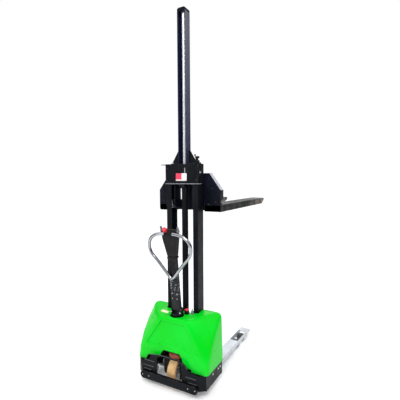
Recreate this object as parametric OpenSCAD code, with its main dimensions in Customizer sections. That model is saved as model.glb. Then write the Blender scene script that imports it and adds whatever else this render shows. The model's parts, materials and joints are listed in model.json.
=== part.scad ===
// Electric pallet stacker with a single-stage mast. +X is the operator's right, +Y the fork direction,
// +Z up. The origin lies on the floor under the middle of the machine's length and width.

/* [Chassis] */
// Distance the chassis reaches behind the uprights
back_set = 13; // [8:1:16]
// Width over the chassis side plates
chassis_w = 670; // [640:1:700]
// Height of the side plates' lower edge above the floor
chassis_clear = 62; // [50:1:80]
// Height of the deck's top face above the floor
deck_z = 192; // [185:1:205]
// Thickness of the chassis plates
plate_t = 6; // [4:0.5:8]
// Distance the front plate stands behind the bumper's front face
front_set = 25; // [20:1:35]
// Width of the wheel opening in the front plate
opening_w = 250; // [240:1:280]
// Height of the rim over the wheel opening, above the top of the drive wheel
rim_rise = 48; // [32:1:60]

/* [Bumper] */
// Width of the bumper bar
bumper_w = 570; // [520:1:600]
// Height of the bumper bar
bumper_h = 66; // [50:1:80]
// Thickness of the bumper bar
bumper_t = 10; // [6:1:14]
// Height of the bumper's lower edge above the floor
bumper_z = 46; // [35:1:60]

/* [Drive unit] */
// Diameter of the drive wheel
wheel_d = 230; // [200:1:240]
// Width of the drive wheel's tread
wheel_w = 80; // [60:1:90]
// Gap between the front plate and the drive wheel when it points straight ahead
steer_gap = 16; // [14:1:24]
// Diameter of the traction motor
motor_d = 130; // [100:1:140]
// Height of the traction motor
motor_h = 180; // [120:1:200]
// Height of the bearing plate that carries the drive unit, above the top of the drive wheel
head_room = 70; // [60:1:90]
// Diameter of the drive wheel's axle
axle_d = 24; // [18:1:30]
// Width of the gear case beside the drive wheel
gear_case_w = 58; // [40:1:60]

/* [Castors] */
// Diameter of a stabiliser castor wheel
castor_d = 80; // [65:1:84]
// Width of a castor wheel
castor_w = 32; // [24:1:36]
// Distance of a castor's swivel axis from the machine's centre line
castor_x = 254; // [245:1:258]
// Distance of a castor's swivel axis behind the bumper's front face
castor_y = 146; // [130:1:155]
// Distance from the swivel axis to the wheel's axis
castor_trail = 25; // [15:1:30]
// Diameter of the castor's swivel pin
castor_pin_d = 16; // [12:1:20]
// Diameter of the castor's axle
castor_axle_d = 10; // [8:1:12]

/* [Support legs] */
// Width of a leg
leg_w = 97; // [80:1:98]
// Height of a leg's box section
leg_h = 51; // [40:1:55]
// Height of a leg's top face above the floor
leg_top_z = 87; // [80:1:95]
// Distance from the bumper's front face to the flat end of a leg
leg_end_y = 1258; // [1100:1:1400]
// Length of the sloping nose on a leg
nose_len = 55; // [30:1:80]
// Thickness of the leg's plates
leg_t = 6; // [4:0.5:8]
// Diameter of a load roller
roller_d = 76; // [66:1:80]
// Width of a load roller
roller_w = 62; // [50:1:70]
// Distance between a leg's two roller axles
roller_pitch = 150; // [110:1:180]
// Distance from the leg's flat end back to the front roller's axle
roller_set = 130; // [100:1:200]
// Diameter of a load roller's axle
roller_axle_d = 16; // [12:1:20]

/* [Mast] */
// Width over the two uprights
mast_w = 320; // [310:1:330]
// Width of an upright channel
upright_w = 50; // [45:1:55]
// Depth of an upright channel
upright_d = 100; // [90:1:104]
// Thickness of a channel's web
web_t = 6; // [5:0.5:8]
// Thickness of a channel's flanges
flange_t = 7; // [6:0.5:9]
// Distance of the mast's centre plane behind the steering axis
mast_set = 146; // [144:1:152]
// Height of the uprights' top ends above the floor
mast_top_z = 1905; // [1880:1:2200]
// Height of the crosshead's front plate
head_h = 158; // [120:1:200]
// Thickness of the crosshead's top plate
top_t = 12; // [8:1:16]
// Length of the bracket that stands out on the top plate's left
tab_len = 80; // [40:1:100]
// Height of the column guides above the top plate
guide_h = 120; // [80:1:150]
// Reach of a column guide's foot along the top plate
guide_foot = 78; // [60:1:90]

/* [Cylinder and column] */
// Outer diameter of the lift cylinder's barrel
barrel_d = 56; // [50:1:60]
// Diameter of the piston rod
rod_d = 28; // [22:1:32]
// Gap between the lift cylinder and each side wall of the lift column
column_gap = 8; // [5:0.5:14]
// Depth of the lift column
column_d = 80; // [78:1:84]
// Wall thickness of the lift column
column_t = 5; // [3:0.5:5]
// Length of the piston rod that is still in the barrel with the forks as parked
rod_grip = 22; // [15:1:60]
// Depth of the barrel's solid floor under the piston rod
bore_floor = 8; // [6:1:20]
// Height of the column's cap
cap_h = 30; // [20:1:60]

/* [Carriage and forks] */
// Width of the sight slot in the carriage plate
sight_w = 20; // [8:1:24]
// Height of the sight slot in the carriage plate
sight_h = 100; // [60:5:140]
// Width of the carriage plate
carriage_w = 640; // [600:1:680]
// Height of the carriage plate
carriage_h = 330; // [280:1:360]
// Width of the plate's cut upper corners
corner_x = 112; // [60:1:130]
// Height of the plate's cut upper corners
corner_z = 152; // [80:1:170]
// Depth of the plate's return flange
flange_d = 60; // [40:1:70]
// Height of the forks' top face above the floor as parked
fork_z = 1558; // [1300:1:1600]
// Width of a fork
fork_w = 163; // [155:1:180]
// Height of a fork's section
fork_h = 63; // [55:1:70]
// Wall thickness of a fork
fork_t = 5; // [4:0.5:8]
// Length of a fork from the carriage plate to its tip
fork_len = 1291; // [1000:1:1400]
// Length of a fork's tapered tip
tip_len = 150; // [80:1:200]
// Distance between the upper and lower guide rollers
guide_pitch = 225; // [150:1:230]
// Radius of the attachment holes in the carriage plate
attach_r = 6.5; // [5:0.5:9]

/* [Hood] */
// Width of the hood
hood_w = 700; // [690:1:740]
// Height of the hood's top above the floor
hood_top_z = 622; // [600:1:640]
// Distance of the hood's front face behind the bumper's front face
hood_front = 52; // [48:1:60]
// Wall thickness of the hood
hood_t = 4; // [3:0.5:6]
// Width of the front face's top edge
brow_w = 320; // [260:1:400]
// Distance the front face leans back over its height
brow_back = 30; // [10:1:40]

/* [Tiller] */
// Height of the tiller's pivot above the floor
pivot_z = 655; // [650:1:680]
// Lean of the parked tiller from upright, towards the operator
tiller_lean = 7; // [4:0.5:12]
// Width of the tiller arm
arm_w = 72; // [60:1:80]
// Depth of the tiller arm
arm_d = 46; // [35:1:55]
// Length from the pivot to the top of the tiller head
tiller_len = 725; // [650:1:780]
// Length of the tiller head
head_len = 240; // [200:1:260]
// Width of the tiller head's top
head_w = 150; // [120:1:170]
// Width over the tube centres of the handle loop
loop_w = 412; // [340:1:430]
// Diameter of the handle loop's tube
loop_d = 28; // [22:1:32]

/* [Hidden] */

round_fn = 64;
small_fn = 32;
clear = 5;
slide_gap = 0.05;
tiny = 0.02;
over = 1;

black = [0.07, 0.08, 0.1];
steel = [0.6, 0.61, 0.63];
green = [0.05, 0.75, 0.15];

// heights and places that several pieces share
wheel_r = wheel_d / 2;
wheel_sweep = norm([wheel_r, wheel_w / 2]);
front_back = front_set + plate_t;
steer_y = front_back + wheel_r + steer_gap;
mast_y = steer_y + mast_set;
bridge_z = wheel_d + head_room;
rim_z = wheel_d + rim_rise;
mast_front = mast_y - upright_d / 2;
mast_back = mast_y + upright_d / 2;
chassis_len = mast_back + back_set;
mast_in = mast_w / 2 - upright_w;
barrel_y = mast_y + 3;
carriage_front = mast_back + 20;
carriage_z = fork_z - 52;
plate_back = carriage_front + plate_t;
fork_out = carriage_w / 2;
fork_in = fork_out - fork_w;
leg_x = fork_in + fork_t + clear + leg_w / 2;
leg_low_z = leg_top_z - leg_h;
lowered_fork_z = leg_top_z + clear + fork_t + 1;
lift_drop = fork_z - lowered_fork_z;
column_w = barrel_d + 2 * (column_gap + column_t);
column_back = barrel_y + barrel_d / 2 + clear + column_t;
column_front = column_back - column_d;
seat_z = wheel_d + 30;
seat_t = 8;
gusset_low = seat_z - 20;
column_low_z = seat_z + 3 * clear + lift_drop;
rod_low_z = seat_z + bore_floor + clear + lift_drop;
cylinder_top = rod_low_z + rod_grip;
column_top_z = cylinder_top + clear + lift_drop + cap_h;
fork_tip_y = plate_back + fork_len;
length_mid = fork_tip_y / 2;
side_x = chassis_w / 2;
roller_front_y = leg_end_y - roller_set;
top_plate_z = mast_top_z + top_t;
foot_front = mast_front - 10;
guide_roller_d = upright_d - 2 * flange_t - 2 * clear;
hood_back = chassis_len;
hood_low_z = deck_z;
ear_x = arm_w / 2 + clear;
ear_t = 8;
ear_half = 24;
stem_hole = norm([ear_x + ear_t, ear_half]) + clear + 2;
stop_d = 44;
stop_y = foot_front - 30;
stop_x = sqrt(pow(stem_hole + stop_d / 2 + 3, 2) - pow(stop_y - steer_y, 2));
key_d = 24;
key_x = stop_x + 52;

// puts a piece that is measured from the bumper's front face into the machine's own frame
module place() translate([0, -length_mid, 0]) children();
// one copy on each side of the centre plane
module both_sides() { children(); mirror([1, 0, 0]) children(); }
// a block given by its lowest and highest corners
module block(low, high) translate(low) cube(high - low);
// a side outline in Y and Z, as thick as x_low to x_high
module side_plate(points, x_low, x_high)
    translate([x_low, 0, 0]) rotate([90, 0, 90]) linear_extrude(x_high - x_low) polygon(points);
// a front outline in X and Z, as thick as y_low to y_high
module front_plate(points, y_low, y_high)
    translate([0, y_high, 0]) rotate([90, 0, 0]) linear_extrude(y_high - y_low) polygon(points);
// a round bar along X
module bar_x(d, x_low, x_high, y, z)
    translate([x_low, y, z]) rotate([0, 90, 0]) cylinder(d = d, h = x_high - x_low, $fn = round_fn);
// a round bar along Y
module bar_y(d, y_low, y_high, x, z)
    translate([x, y_high, z]) rotate([90, 0, 0]) cylinder(d = d, h = y_high - y_low, $fn = round_fn);

function bezier(a, b, c, d, t) =
    pow(1 - t, 3) * a + 3 * pow(1 - t, 2) * t * b + 3 * (1 - t) * t * t * c + pow(t, 3) * d;

/* ---------- chassis ---------- */

rim_half = opening_w / 2 + 60;
arch = [[-opening_w / 2, bumper_z + bumper_h - 4], [opening_w / 2, bumper_z + bumper_h - 4],
        [opening_w / 2, rim_z - 36], [opening_w / 2 - 40, rim_z - 12],
        [-opening_w / 2 + 40, rim_z - 12], [-opening_w / 2, rim_z - 30]];
front_outline = [[-bumper_w / 2, bumper_z + 20], [bumper_w / 2, bumper_z + 20], [bumper_w / 2, deck_z],
                 [rim_half, deck_z + 14], [opening_w / 2 + 26, rim_z - 18], [opening_w / 2 - 30, rim_z],
                 [-opening_w / 2 + 20, rim_z], [-rim_half, rim_z - 16], [-rim_half - 30, deck_z + 14],
                 [-bumper_w / 2, deck_z]];
corner_y = 62;
castor_plate_z = 118;
castor_wall_x = castor_x - 64;
bridge_half = 150;
bridge_bore = 60;
bridge_t = 10;
// the bridge starts behind the hood's front wall, which leans back
bridge_front = hood_front + hood_t + clear + brow_back * (bridge_z + bridge_t - deck_z) / (hood_top_z - deck_z);
bridge_back = foot_front;
front_corner_r = 22;
back_corner_r = 16;

// the hood's outline at its lower edge, set in on all sides
module foot_outline(inset) hull() for (side = [-1, 1]) {
    translate([side * (hood_w / 2 - inset - front_corner_r), hood_front + front_corner_r + inset])
        circle(r = front_corner_r, $fn = ball_fn);
    translate([side * (hood_w / 2 - inset - back_corner_r), hood_back - back_corner_r - inset])
        circle(r = back_corner_r, $fn = ball_fn);
}

// the folded corner between the front plate and a side plate, with its stiffening foot
module chassis_corner()
    linear_extrude(height = deck_z - bumper_z - 20)
        polygon([[bumper_w / 2, front_set], [side_x, corner_y], [side_x, corner_y + plate_t],
                 [side_x - plate_t, corner_y + plate_t], [bumper_w / 2 - 4, front_back],
                 [bumper_w / 2 - 4, front_set]]);

module chassis_frame() place() color(black) difference() {
    union() {
        difference() {
            front_plate(front_outline, front_set, front_back);
            front_plate(arch, front_set - over, front_back + over);
        }
        both_sides() {
            translate([0, 0, bumper_z + 20]) chassis_corner();
            block([side_x - plate_t, corner_y, chassis_clear], [side_x, chassis_len, deck_z]);
            // castor plate and the plate that ties upright and leg to the deck
            block([castor_wall_x, front_set, castor_plate_z],
                  [side_x - plate_t, castor_y + 75, castor_plate_z + plate_t]);
            block([castor_wall_x, front_set, castor_plate_z],
                  [castor_wall_x + plate_t, castor_y + 75, deck_z - plate_t]);
            block([mast_w / 2, mast_front, chassis_clear], [leg_x - leg_w / 2, chassis_len, deck_z]);
            // side walls of the drive unit's bridge
            block([bridge_half - plate_t, bridge_front, deck_z - plate_t], [bridge_half, bridge_back, bridge_z]);
        }
        // deck, which carries the hood's lower edge
        translate([0, 0, deck_z - plate_t]) linear_extrude(plate_t) foot_outline(1);
        // bearing plate over the drive wheel
        block([-bridge_half, bridge_front, bridge_z], [bridge_half, bridge_back, bridge_z + bridge_t]);
        block([-bridge_half, bridge_back - plate_t, deck_z - plate_t], [bridge_half, bridge_back, bridge_z]);
    }
    // room for the drive wheel, for the mast and behind the front corners
    translate([0, steer_y, 100]) cylinder(r = wheel_sweep + 8, h = bridge_z - 101, $fn = round_fn);
    translate([0, steer_y, bridge_z - over])
        cylinder(r = bridge_bore + slide_gap, h = bridge_t + 2 * over, $fn = round_fn);
    block([-mast_w / 2, foot_front + tiny, 0], [mast_w / 2, chassis_len + over, deck_z + over]);
    both_sides() {
        translate([castor_x, castor_y, castor_plate_z - over])
            cylinder(d = castor_pin_d + 2 * slide_gap, h = plate_t + 2, $fn = round_fn);
        linear_extrude(height = deck_z + over)
            polygon([[bumper_w / 2 + tiny, 0], [side_x + 20, 0], [side_x + 20, corner_y + 14],
                     [side_x + 2, corner_y + 2], [side_x, corner_y], [bumper_w / 2 + tiny, front_set]]);
    }
}

bumper_bolt_x = [195, 262];

module bumper_bar() place() color(black) difference() {
    union() {
        translate([0, bumper_t, bumper_z + bumper_h / 2]) rotate([90, 0, 0]) linear_extrude(bumper_t) hull()
            for (side = [-1, 1])
                translate([side * (bumper_w - bumper_h) / 2, 0]) circle(d = bumper_h, $fn = round_fn);
        // spacers between the bar and the front plate
        both_sides() block([bumper_w / 2 - 60, bumper_t - over, bumper_z + 24],
                           [bumper_w / 2 - 40, front_set, bumper_z + bumper_h - 12]);
    }
    both_sides() for (x = bumper_bolt_x)
        bar_y(11, -over, bumper_t + over, x, bumper_z + bumper_h / 2);
}

/* ---------- legs and load rollers ---------- */

roller_gap = roller_d / 2 + 8;
leg_start = mast_front - 12;

module support_leg() {
    low = leg_low_z;
    flat = leg_end_y;
    half = leg_w / 2;
    profile = [[leg_start, low], [flat + nose_len, low + 8], [flat + nose_len, low + 20], [flat, leg_top_z],
               [leg_start, leg_top_z]];
    difference() {
        union() {
            side_plate(profile, leg_x - half, leg_x + half);
            // lugs that carry the roller axles below the box
            for (side = [-1, 1]) translate([leg_x + side * (half - leg_t / 2), 0, 0])
                lug_pair();
        }
        block([leg_x - half + leg_t, leg_start + leg_t, low - over],
              [leg_x + half - leg_t, flat - leg_t, leg_top_z - leg_t]);
        // cut-out over the rollers
        block([leg_x - half + leg_t, roller_front_y - roller_pitch - roller_gap, low],
              [leg_x + half - leg_t, roller_front_y + roller_gap, leg_top_z + over]);
        for (y = [roller_front_y, roller_front_y - roller_pitch])
            bar_x(roller_axle_d, leg_x - half - over, leg_x + half + over, y, roller_d / 2);
    }
}
module lug_pair()
    for (y = [roller_front_y, roller_front_y - roller_pitch])
        translate([-leg_t / 2, y, roller_d / 2]) rotate([0, 90, 0])
            cylinder(d = roller_axle_d + 16, h = leg_t, $fn = round_fn);

module support_leg_left() place() color("silver") mirror([1, 0, 0]) support_leg();
module support_leg_right() place() color("silver") support_leg();

module load_roller(side, y) place() color([0.16, 0.16, 0.17]) translate([side * leg_x, y, roller_d / 2])
    rotate([0, 90, 0]) difference() {
        cylinder(d = roller_d, h = roller_w, center = true, $fn = round_fn);
        cylinder(d = roller_axle_d + 2 * slide_gap, h = roller_w + 2, center = true, $fn = round_fn);
    }
module load_roller_left_front() load_roller(-1, roller_front_y);
module load_roller_left_rear() load_roller(-1, roller_front_y - roller_pitch);
module load_roller_right_front() load_roller(1, roller_front_y);
module load_roller_right_rear() load_roller(1, roller_front_y - roller_pitch);

module load_roller_axles() place() color(steel) both_sides()
    for (y = [roller_front_y, roller_front_y - roller_pitch])
        bar_x(roller_axle_d, leg_x - leg_w / 2, leg_x + leg_w / 2, y, roller_d / 2);

/* ---------- castors ---------- */

castor_top = castor_plate_z - clear;
castor_cheek = castor_w / 2 + clear;

module castor_fork() {
    translate([castor_x, castor_y, 0]) difference() {
        union() {
            translate([0, 0, castor_top - 6]) cylinder(d = 52, h = 6, $fn = round_fn);
            translate([0, 0, castor_top - 6])
                cylinder(d = castor_pin_d, h = clear + plate_t + 14, $fn = round_fn);
            for (side = [-1, 1]) translate([side * (castor_cheek + 2) - 2, 0, 0])
                side_plate([[-20, castor_top], [-20, castor_top - 12], [castor_trail - 12, castor_d / 2 - 10],
                            [castor_trail + 12, castor_d / 2 - 10], [castor_trail + 6, castor_top - 16],
                            [24, castor_top]], 0, 4);
            block([-castor_cheek - 4, -20, castor_top - 6], [castor_cheek + 4, 24, castor_top]);
            bar_x(castor_axle_d, -castor_cheek - 7, castor_cheek + 7, castor_trail, castor_d / 2);
        }
    }
}
module castor_wheel() {
    translate([castor_x, castor_y + castor_trail, castor_d / 2]) rotate([0, 90, 0]) difference() {
        cylinder(d = castor_d, h = castor_w, center = true, $fn = round_fn);
        cylinder(d = castor_axle_d + 2 * slide_gap, h = castor_w + 2, center = true, $fn = round_fn);
    }
}
module castor_fork_left() place() color("gray") mirror([1, 0, 0]) castor_fork();
module castor_fork_right() place() color("gray") castor_fork();
module castor_wheel_left() place() color([0.1, 0.1, 0.1]) mirror([1, 0, 0]) castor_wheel();
module castor_wheel_right() place() color([0.1, 0.1, 0.1]) castor_wheel();

/* ---------- mast ---------- */

module upright() difference() {
    block([mast_in, mast_front, chassis_clear], [mast_w / 2, mast_back, mast_top_z]);
    block([mast_in - over, mast_front + flange_t, chassis_clear - over],
          [mast_w / 2 - web_t, mast_back - flange_t, mast_top_z + over]);
}
module mast_upright_left() place() color(black) mirror([1, 0, 0]) upright();
module mast_upright_right() place() color(black) upright();

foot_top_z = hood_top_z - 30;

// cross wall in front of the uprights, with the seat that carries the cylinder
module mast_foot() place() color(black) union() {
    block([-mast_w / 2, foot_front + tiny, seat_z - seat_t], [mast_w / 2, mast_front, foot_top_z]);
    block([-barrel_d / 2 - 15, mast_front - over, seat_z - seat_t],
          [barrel_d / 2 + 15, barrel_y + barrel_d / 2 + 4, seat_z]);
    // gussets under the seat
    both_sides() side_plate([[mast_front - over, seat_z - seat_t], [mast_front - over, gusset_low],
                             [mast_front + 30, seat_z - seat_t]], 20, 26);
}

head_low = mast_top_z - head_h;
lip_d = 6;
slot_x = 36;
grip_half = 24;
grip_h = 40;

module mast_crosshead() place() color(black) difference() {
    union() {
        // front plate with a lip along its lower edge
        block([-mast_w / 2 - 4, mast_front - 8, head_low], [mast_w / 2 + 4, mast_front, mast_top_z]);
        block([-mast_w / 2 - 6, mast_front - 8 - lip_d, head_low], [mast_w / 2 + 6, mast_front - 8, head_low + 5]);
        // side cheeks on the outside of the uprights
        both_sides() block([mast_w / 2, mast_front - over, head_low],
                           [mast_w / 2 + 5, mast_back, mast_top_z]);
        // top plate and the bracket on its left
        block([-mast_w / 2 - 5, mast_front - 8, mast_top_z], [mast_w / 2 + 5, mast_back, top_plate_z]);
        block([-mast_w / 2 - tab_len, mast_y - 16, top_plate_z - 6], [-mast_w / 2, mast_y + 16, top_plate_z]);
        // bracket that holds the top of the cylinder, hung behind the front plate
        block([-grip_half, mast_front - over, cylinder_top - grip_h], [grip_half, mast_front + clear, head_low + 60]);
        block([-grip_half, mast_front, cylinder_top - grip_h], [grip_half, barrel_y, cylinder_top - clear]);
    }
    translate([0, barrel_y, cylinder_top - grip_h - over])
        cylinder(d = barrel_d + 2 * tiny, h = grip_h + over, $fn = round_fn);
    block([-column_w / 2 - clear, column_front - clear, mast_top_z - over],
          [column_w / 2 + clear, column_back + clear, top_plate_z + over]);
    // sight slot in the front plate
    block([slot_x - 5, mast_front - 20, mast_top_z - 66], [slot_x + 5, mast_front + over, mast_top_z - 22]);
}

guide_foot_t = 7;

// bolted gussets that guide the column above the top plate
module column_guides() place() color(black) both_sides() {
    inner = column_w / 2 + clear;
    z0 = top_plate_z;
    difference() {
        union() {
            front_plate([[inner, z0], [inner + guide_foot, z0], [inner + guide_foot, z0 + 14],
                         [inner + 14, z0 + guide_h], [inner, z0 + guide_h]], mast_y - 4, mast_y + 4);
            block([inner, mast_y - 26, z0], [inner + guide_foot, mast_y + 26, z0 + guide_foot_t]);
        }
        translate([inner + guide_foot - 16, mast_y - 15, z0 - over]) cylinder(d = 9, h = guide_foot_t + 2, $fn = small_fn);
    }
}

module lift_cylinder() place() color(black) translate([0, barrel_y, 0]) difference() {
    union() {
        translate([0, 0, seat_z]) cylinder(d = barrel_d, h = cylinder_top - seat_z, $fn = round_fn);
        translate([0, 0, seat_z]) cylinder(d = barrel_d + 8, h = 2 * clear, $fn = round_fn);
    }
    translate([0, 0, seat_z + bore_floor])
        cylinder(d = rod_d + 2 * slide_gap, h = cylinder_top - seat_z, $fn = round_fn);
}

module limit_switch() place() color([0.12, 0.12, 0.12]) {
    x0 = column_w / 2 + clear + guide_foot - 18;
    translate([0, mast_y - 34, top_plate_z]) union() {
        block([x0 + 20, 0, 0], [x0 + 52, 26, 59]);
        block([x0 + 14, 4, 53], [x0 + 44, 20, 73]);
        bar_y(16, 2, 16, x0 + 14, 73);
    }
}

module rating_plate() place() color("white")
    block([-55, mast_front - 9.2, head_low + 22], [55, mast_front - 8, head_low + 88]);

/* ---------- lift column, rod and carriage ---------- */

module lift_rod() place() color("white") translate([0, barrel_y, rod_low_z])
    cylinder(d = rod_d, h = column_top_z - cap_h - rod_low_z, $fn = round_fn);

module lift_column() place() color([0.1, 0.11, 0.18]) difference() {
    block([-column_w / 2, column_front, column_low_z], [column_w / 2, column_back, column_top_z - cap_h]);
    block([-column_w / 2 + column_t, column_front - over, column_low_z - over],
          [column_w / 2 - column_t, column_back - column_t, column_top_z]);
}

module column_cap() place() color(black) intersection() {
    block([-column_w / 2, column_front, column_top_z - cap_h], [column_w / 2, column_back, column_top_z]);
    front_plate([[-column_w / 2, column_top_z - cap_h], [column_w / 2, column_top_z - cap_h],
                 [column_w / 2, column_top_z - 9], [column_w / 2 - 14, column_top_z],
                 [-column_w / 2 + 14, column_top_z], [-column_w / 2, column_top_z - 9]],
                column_front, column_back);
}

carriage_top = carriage_z + carriage_h;
arm_x = mast_in - 24;
arm_t = 12;
roller_mid_x = mast_w / 2 - web_t - 21;
lower_roller_z = carriage_z + 57;
upper_roller_z = lower_roller_z + guide_pitch;
cavity_top = fork_z - fork_t - 1;
half_c = carriage_w / 2;

module carriage_outline(inset)
    polygon([[-half_c + inset, carriage_z + inset], [half_c - inset, carriage_z + inset],
             [half_c - inset, carriage_top - corner_z - inset * 0.3],
             [half_c - corner_x - inset * 0.5, carriage_top - inset],
             [-half_c + corner_x + inset * 0.5, carriage_top - inset],
             [-half_c + inset, carriage_top - corner_z - inset * 0.3]]);

attach_x = 272;
attach_z = [carriage_z + 72, carriage_z + 162];
sight_x = column_w / 2 + 25;
sight_z = carriage_z + 94;

module carriage_frame() place() color([0.05, 0.06, 0.1]) difference() {
    union() {
        // plate with its return flange
        difference() {
            translate([0, plate_back - plate_t + flange_d, 0]) rotate([90, 0, 0])
                linear_extrude(flange_d) carriage_outline(0);
            translate([0, plate_back + flange_d, 0]) rotate([90, 0, 0])
                linear_extrude(flange_d) carriage_outline(plate_t);
        }
        // arms that reach between the uprights and carry the guide rollers
        both_sides() {
            side_plate([[carriage_front, carriage_z + 8], [mast_y - 24, carriage_z + 20],
                        [mast_y - 24, upper_roller_z + 20], [carriage_front, carriage_top - 8]],
                       arm_x, arm_x + arm_t);
            for (z = [lower_roller_z, upper_roller_z]) bar_x(20, arm_x + arm_t, roller_mid_x + 15, mast_y, z);
        }
        // spacer that carries the column
        block([-column_w / 2 + 6, column_back, column_low_z + 4],
              [column_w / 2 - 6, carriage_front, carriage_top - 6]);
    }
    block([-sight_x - sight_w, carriage_front - over, sight_z], [-sight_x, plate_back + over, sight_z + sight_h]);
    // notches for the support legs
    both_sides() {
        block([fork_in + fork_t, carriage_front - over, carriage_z - over],
              [fork_out - fork_t, carriage_front + flange_d + over, cavity_top]);
        // seat of the fork's heel between the flanges
        block([fork_in, plate_back, carriage_z - over],
              [fork_out + over, plate_back + flange_d + over, fork_z + heel_h]);
        for (z = attach_z) bar_y(attach_r * 2, carriage_front - over, plate_back + over, attach_x, z);
    }
}

module carriage_rollers() place() color(steel) both_sides() for (z = [lower_roller_z, upper_roller_z])
    difference() {
        bar_x(guide_roller_d, roller_mid_x - 15, roller_mid_x + 15, mast_y, z);
        bar_x(20, roller_mid_x - 16, roller_mid_x + 16, mast_y, z);
    }

fork_low = fork_z - fork_h;
heel_h = 42;

module fork() {
    x0 = fork_in;
    x1 = fork_out;
    tip = fork_tip_y;
    y0 = plate_back;
    difference() {
        union() {
            intersection() {
                translate([0, 0, fork_low]) linear_extrude(fork_h)
                    polygon([[x0, y0], [x1, y0], [x1, tip - tip_len], [x1 - 18, tip - 20], [x1 - 36, tip],
                             [x0 + 36, tip], [x0 + 18, tip - 20], [x0, tip - tip_len]]);
                side_plate([[y0, fork_low], [tip - tip_len, fork_low], [tip, fork_z - 26], [tip, fork_z - 8],
                            [tip - 60, fork_z], [y0, fork_z]], x0, x1);
            }
            // heel block against the carriage plate
            side_plate([[y0, fork_z - 4], [y0 + flange_d - plate_t, fork_z - 4],
                        [y0 + flange_d - plate_t, fork_z + 6], [y0, fork_z + heel_h]], x0 + 14, x1 - 14);
        }
        translate([0, 0, fork_low - over]) linear_extrude(fork_h - fork_t)
            polygon([[x0 + fork_t, y0 - over], [x1 - fork_t, y0 - over], [x1 - fork_t, tip - tip_len],
                     [x1 - 28, tip - 60], [x0 + 28, tip - 60], [x0 + fork_t, tip - tip_len]]);
    }
}
module fork_left() place() color([0.12, 0.12, 0.12]) mirror([1, 0, 0]) fork();
module fork_right() place() color([0.12, 0.12, 0.12]) fork();

/* ---------- hood and what stands in and on it ---------- */

ball_fn = 24;
side_ball = 46;

module hood_form(inset) hull() {
    half = hood_w / 2 - inset;
    both_sides() {
        // lower corners, front and back
        translate([half - front_corner_r, hood_front + front_corner_r + inset, hood_low_z - 20])
            cylinder(r = front_corner_r, h = 1, $fn = ball_fn);
        translate([half - back_corner_r, hood_back - back_corner_r - inset, hood_low_z - 20])
            cylinder(r = back_corner_r, h = 1, $fn = ball_fn);
        // upper end of the front face
        translate([brow_w / 2 - 24, hood_front + brow_back + 24 + inset, hood_top_z - 20 - 24 - inset])
            sphere(r = 24, $fn = ball_fn);
        // shoulders
        translate([half - side_ball, hood_front + 225 + side_ball, hood_top_z - side_ball - inset])
            sphere(r = side_ball, $fn = ball_fn);
        translate([half - side_ball, hood_back - 24 - inset, hood_top_z - side_ball - inset])
            sphere(r = 24, $fn = ball_fn);
    }
}

notch_top = 312;
hood_notch = [[-262, 100], [-262, hood_low_z], [-238, 240], [-112, 262], [-104, 282], [-80, notch_top],
              [80, notch_top], [104, 282], [114, 256], [168, 214], [200, 212], [200, 100]];

module hood() place() color(green) difference() {
    hood_form(0);
    hood_form(hood_t);
    block([-hood_w, 0, 0], [hood_w, 2 * chassis_len, hood_low_z]);
    front_plate(hood_notch, 0, hood_front + 80);
    // slot for the mast, open to the back
    block([-mast_w / 2 - 6, foot_front - 4, 0], [mast_w / 2 + 6, 2 * chassis_len, hood_top_z + over]);
    translate([0, steer_y, hood_top_z - 100]) cylinder(r = stem_hole, h = 200, $fn = round_fn);
    translate([stop_x, stop_y, hood_top_z - 100]) cylinder(d = stop_d + 2 * tiny, h = 200, $fn = round_fn);
    translate([key_x, stop_y + 4, hood_top_z - 100]) cylinder(d = key_d + 2 * tiny, h = 200, $fn = round_fn);
}

module battery_pack() place() color([0.15, 0.15, 0.16])
    block([mast_w / 2 + 20, steer_y + 38, deck_z], [hood_w / 2 - 36, hood_back - 24, deck_z + 215]);

module hydraulic_power_pack() place() color([0.5, 0.5, 0.52]) {
    x1 = -mast_w / 2 - 22;
    union() {
        block([x1 - 120, 170, deck_z], [x1, hood_back - 26, deck_z + 190]);
        translate([x1 - 60, 235, deck_z + 190]) cylinder(d = 100, h = 110, $fn = round_fn);
    }
}

module emergency_stop_base() place() color([0.05, 0.05, 0.05]) translate([stop_x, stop_y, hood_top_z - 14])
    union() {
        cylinder(d = stop_d, h = 18, $fn = round_fn);
        translate([0, 0, -30]) cylinder(d = 28, h = 40, $fn = round_fn);
    }
module emergency_stop_button() place() color("crimson") translate([stop_x, stop_y, hood_top_z + 4]) union() {
    cylinder(d = 20, h = 12, $fn = round_fn);
    translate([0, 0, 8]) cylinder(d = 40, h = 14, $fn = round_fn);
}
module key_switch() place() color("gray") translate([key_x, stop_y + 4, hood_top_z - 20]) union() {
    cylinder(d = key_d, h = 34, $fn = round_fn);
    translate([-2, -8, 30]) cube([4, 16, 24]);
}

/* ---------- drive unit ---------- */

wheel_z = wheel_r;
yoke_top = bridge_z - clear;
yoke_low = wheel_d + 14;
yoke_r = foot_front - steer_y - 2 * clear;
gear_case_r = wheel_d / 2 - 55;
gear_case_x = wheel_w / 2 + clear;
gear_case_top = gusset_low - clear;
guard_x = wheel_w / 2 + 16;

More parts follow.
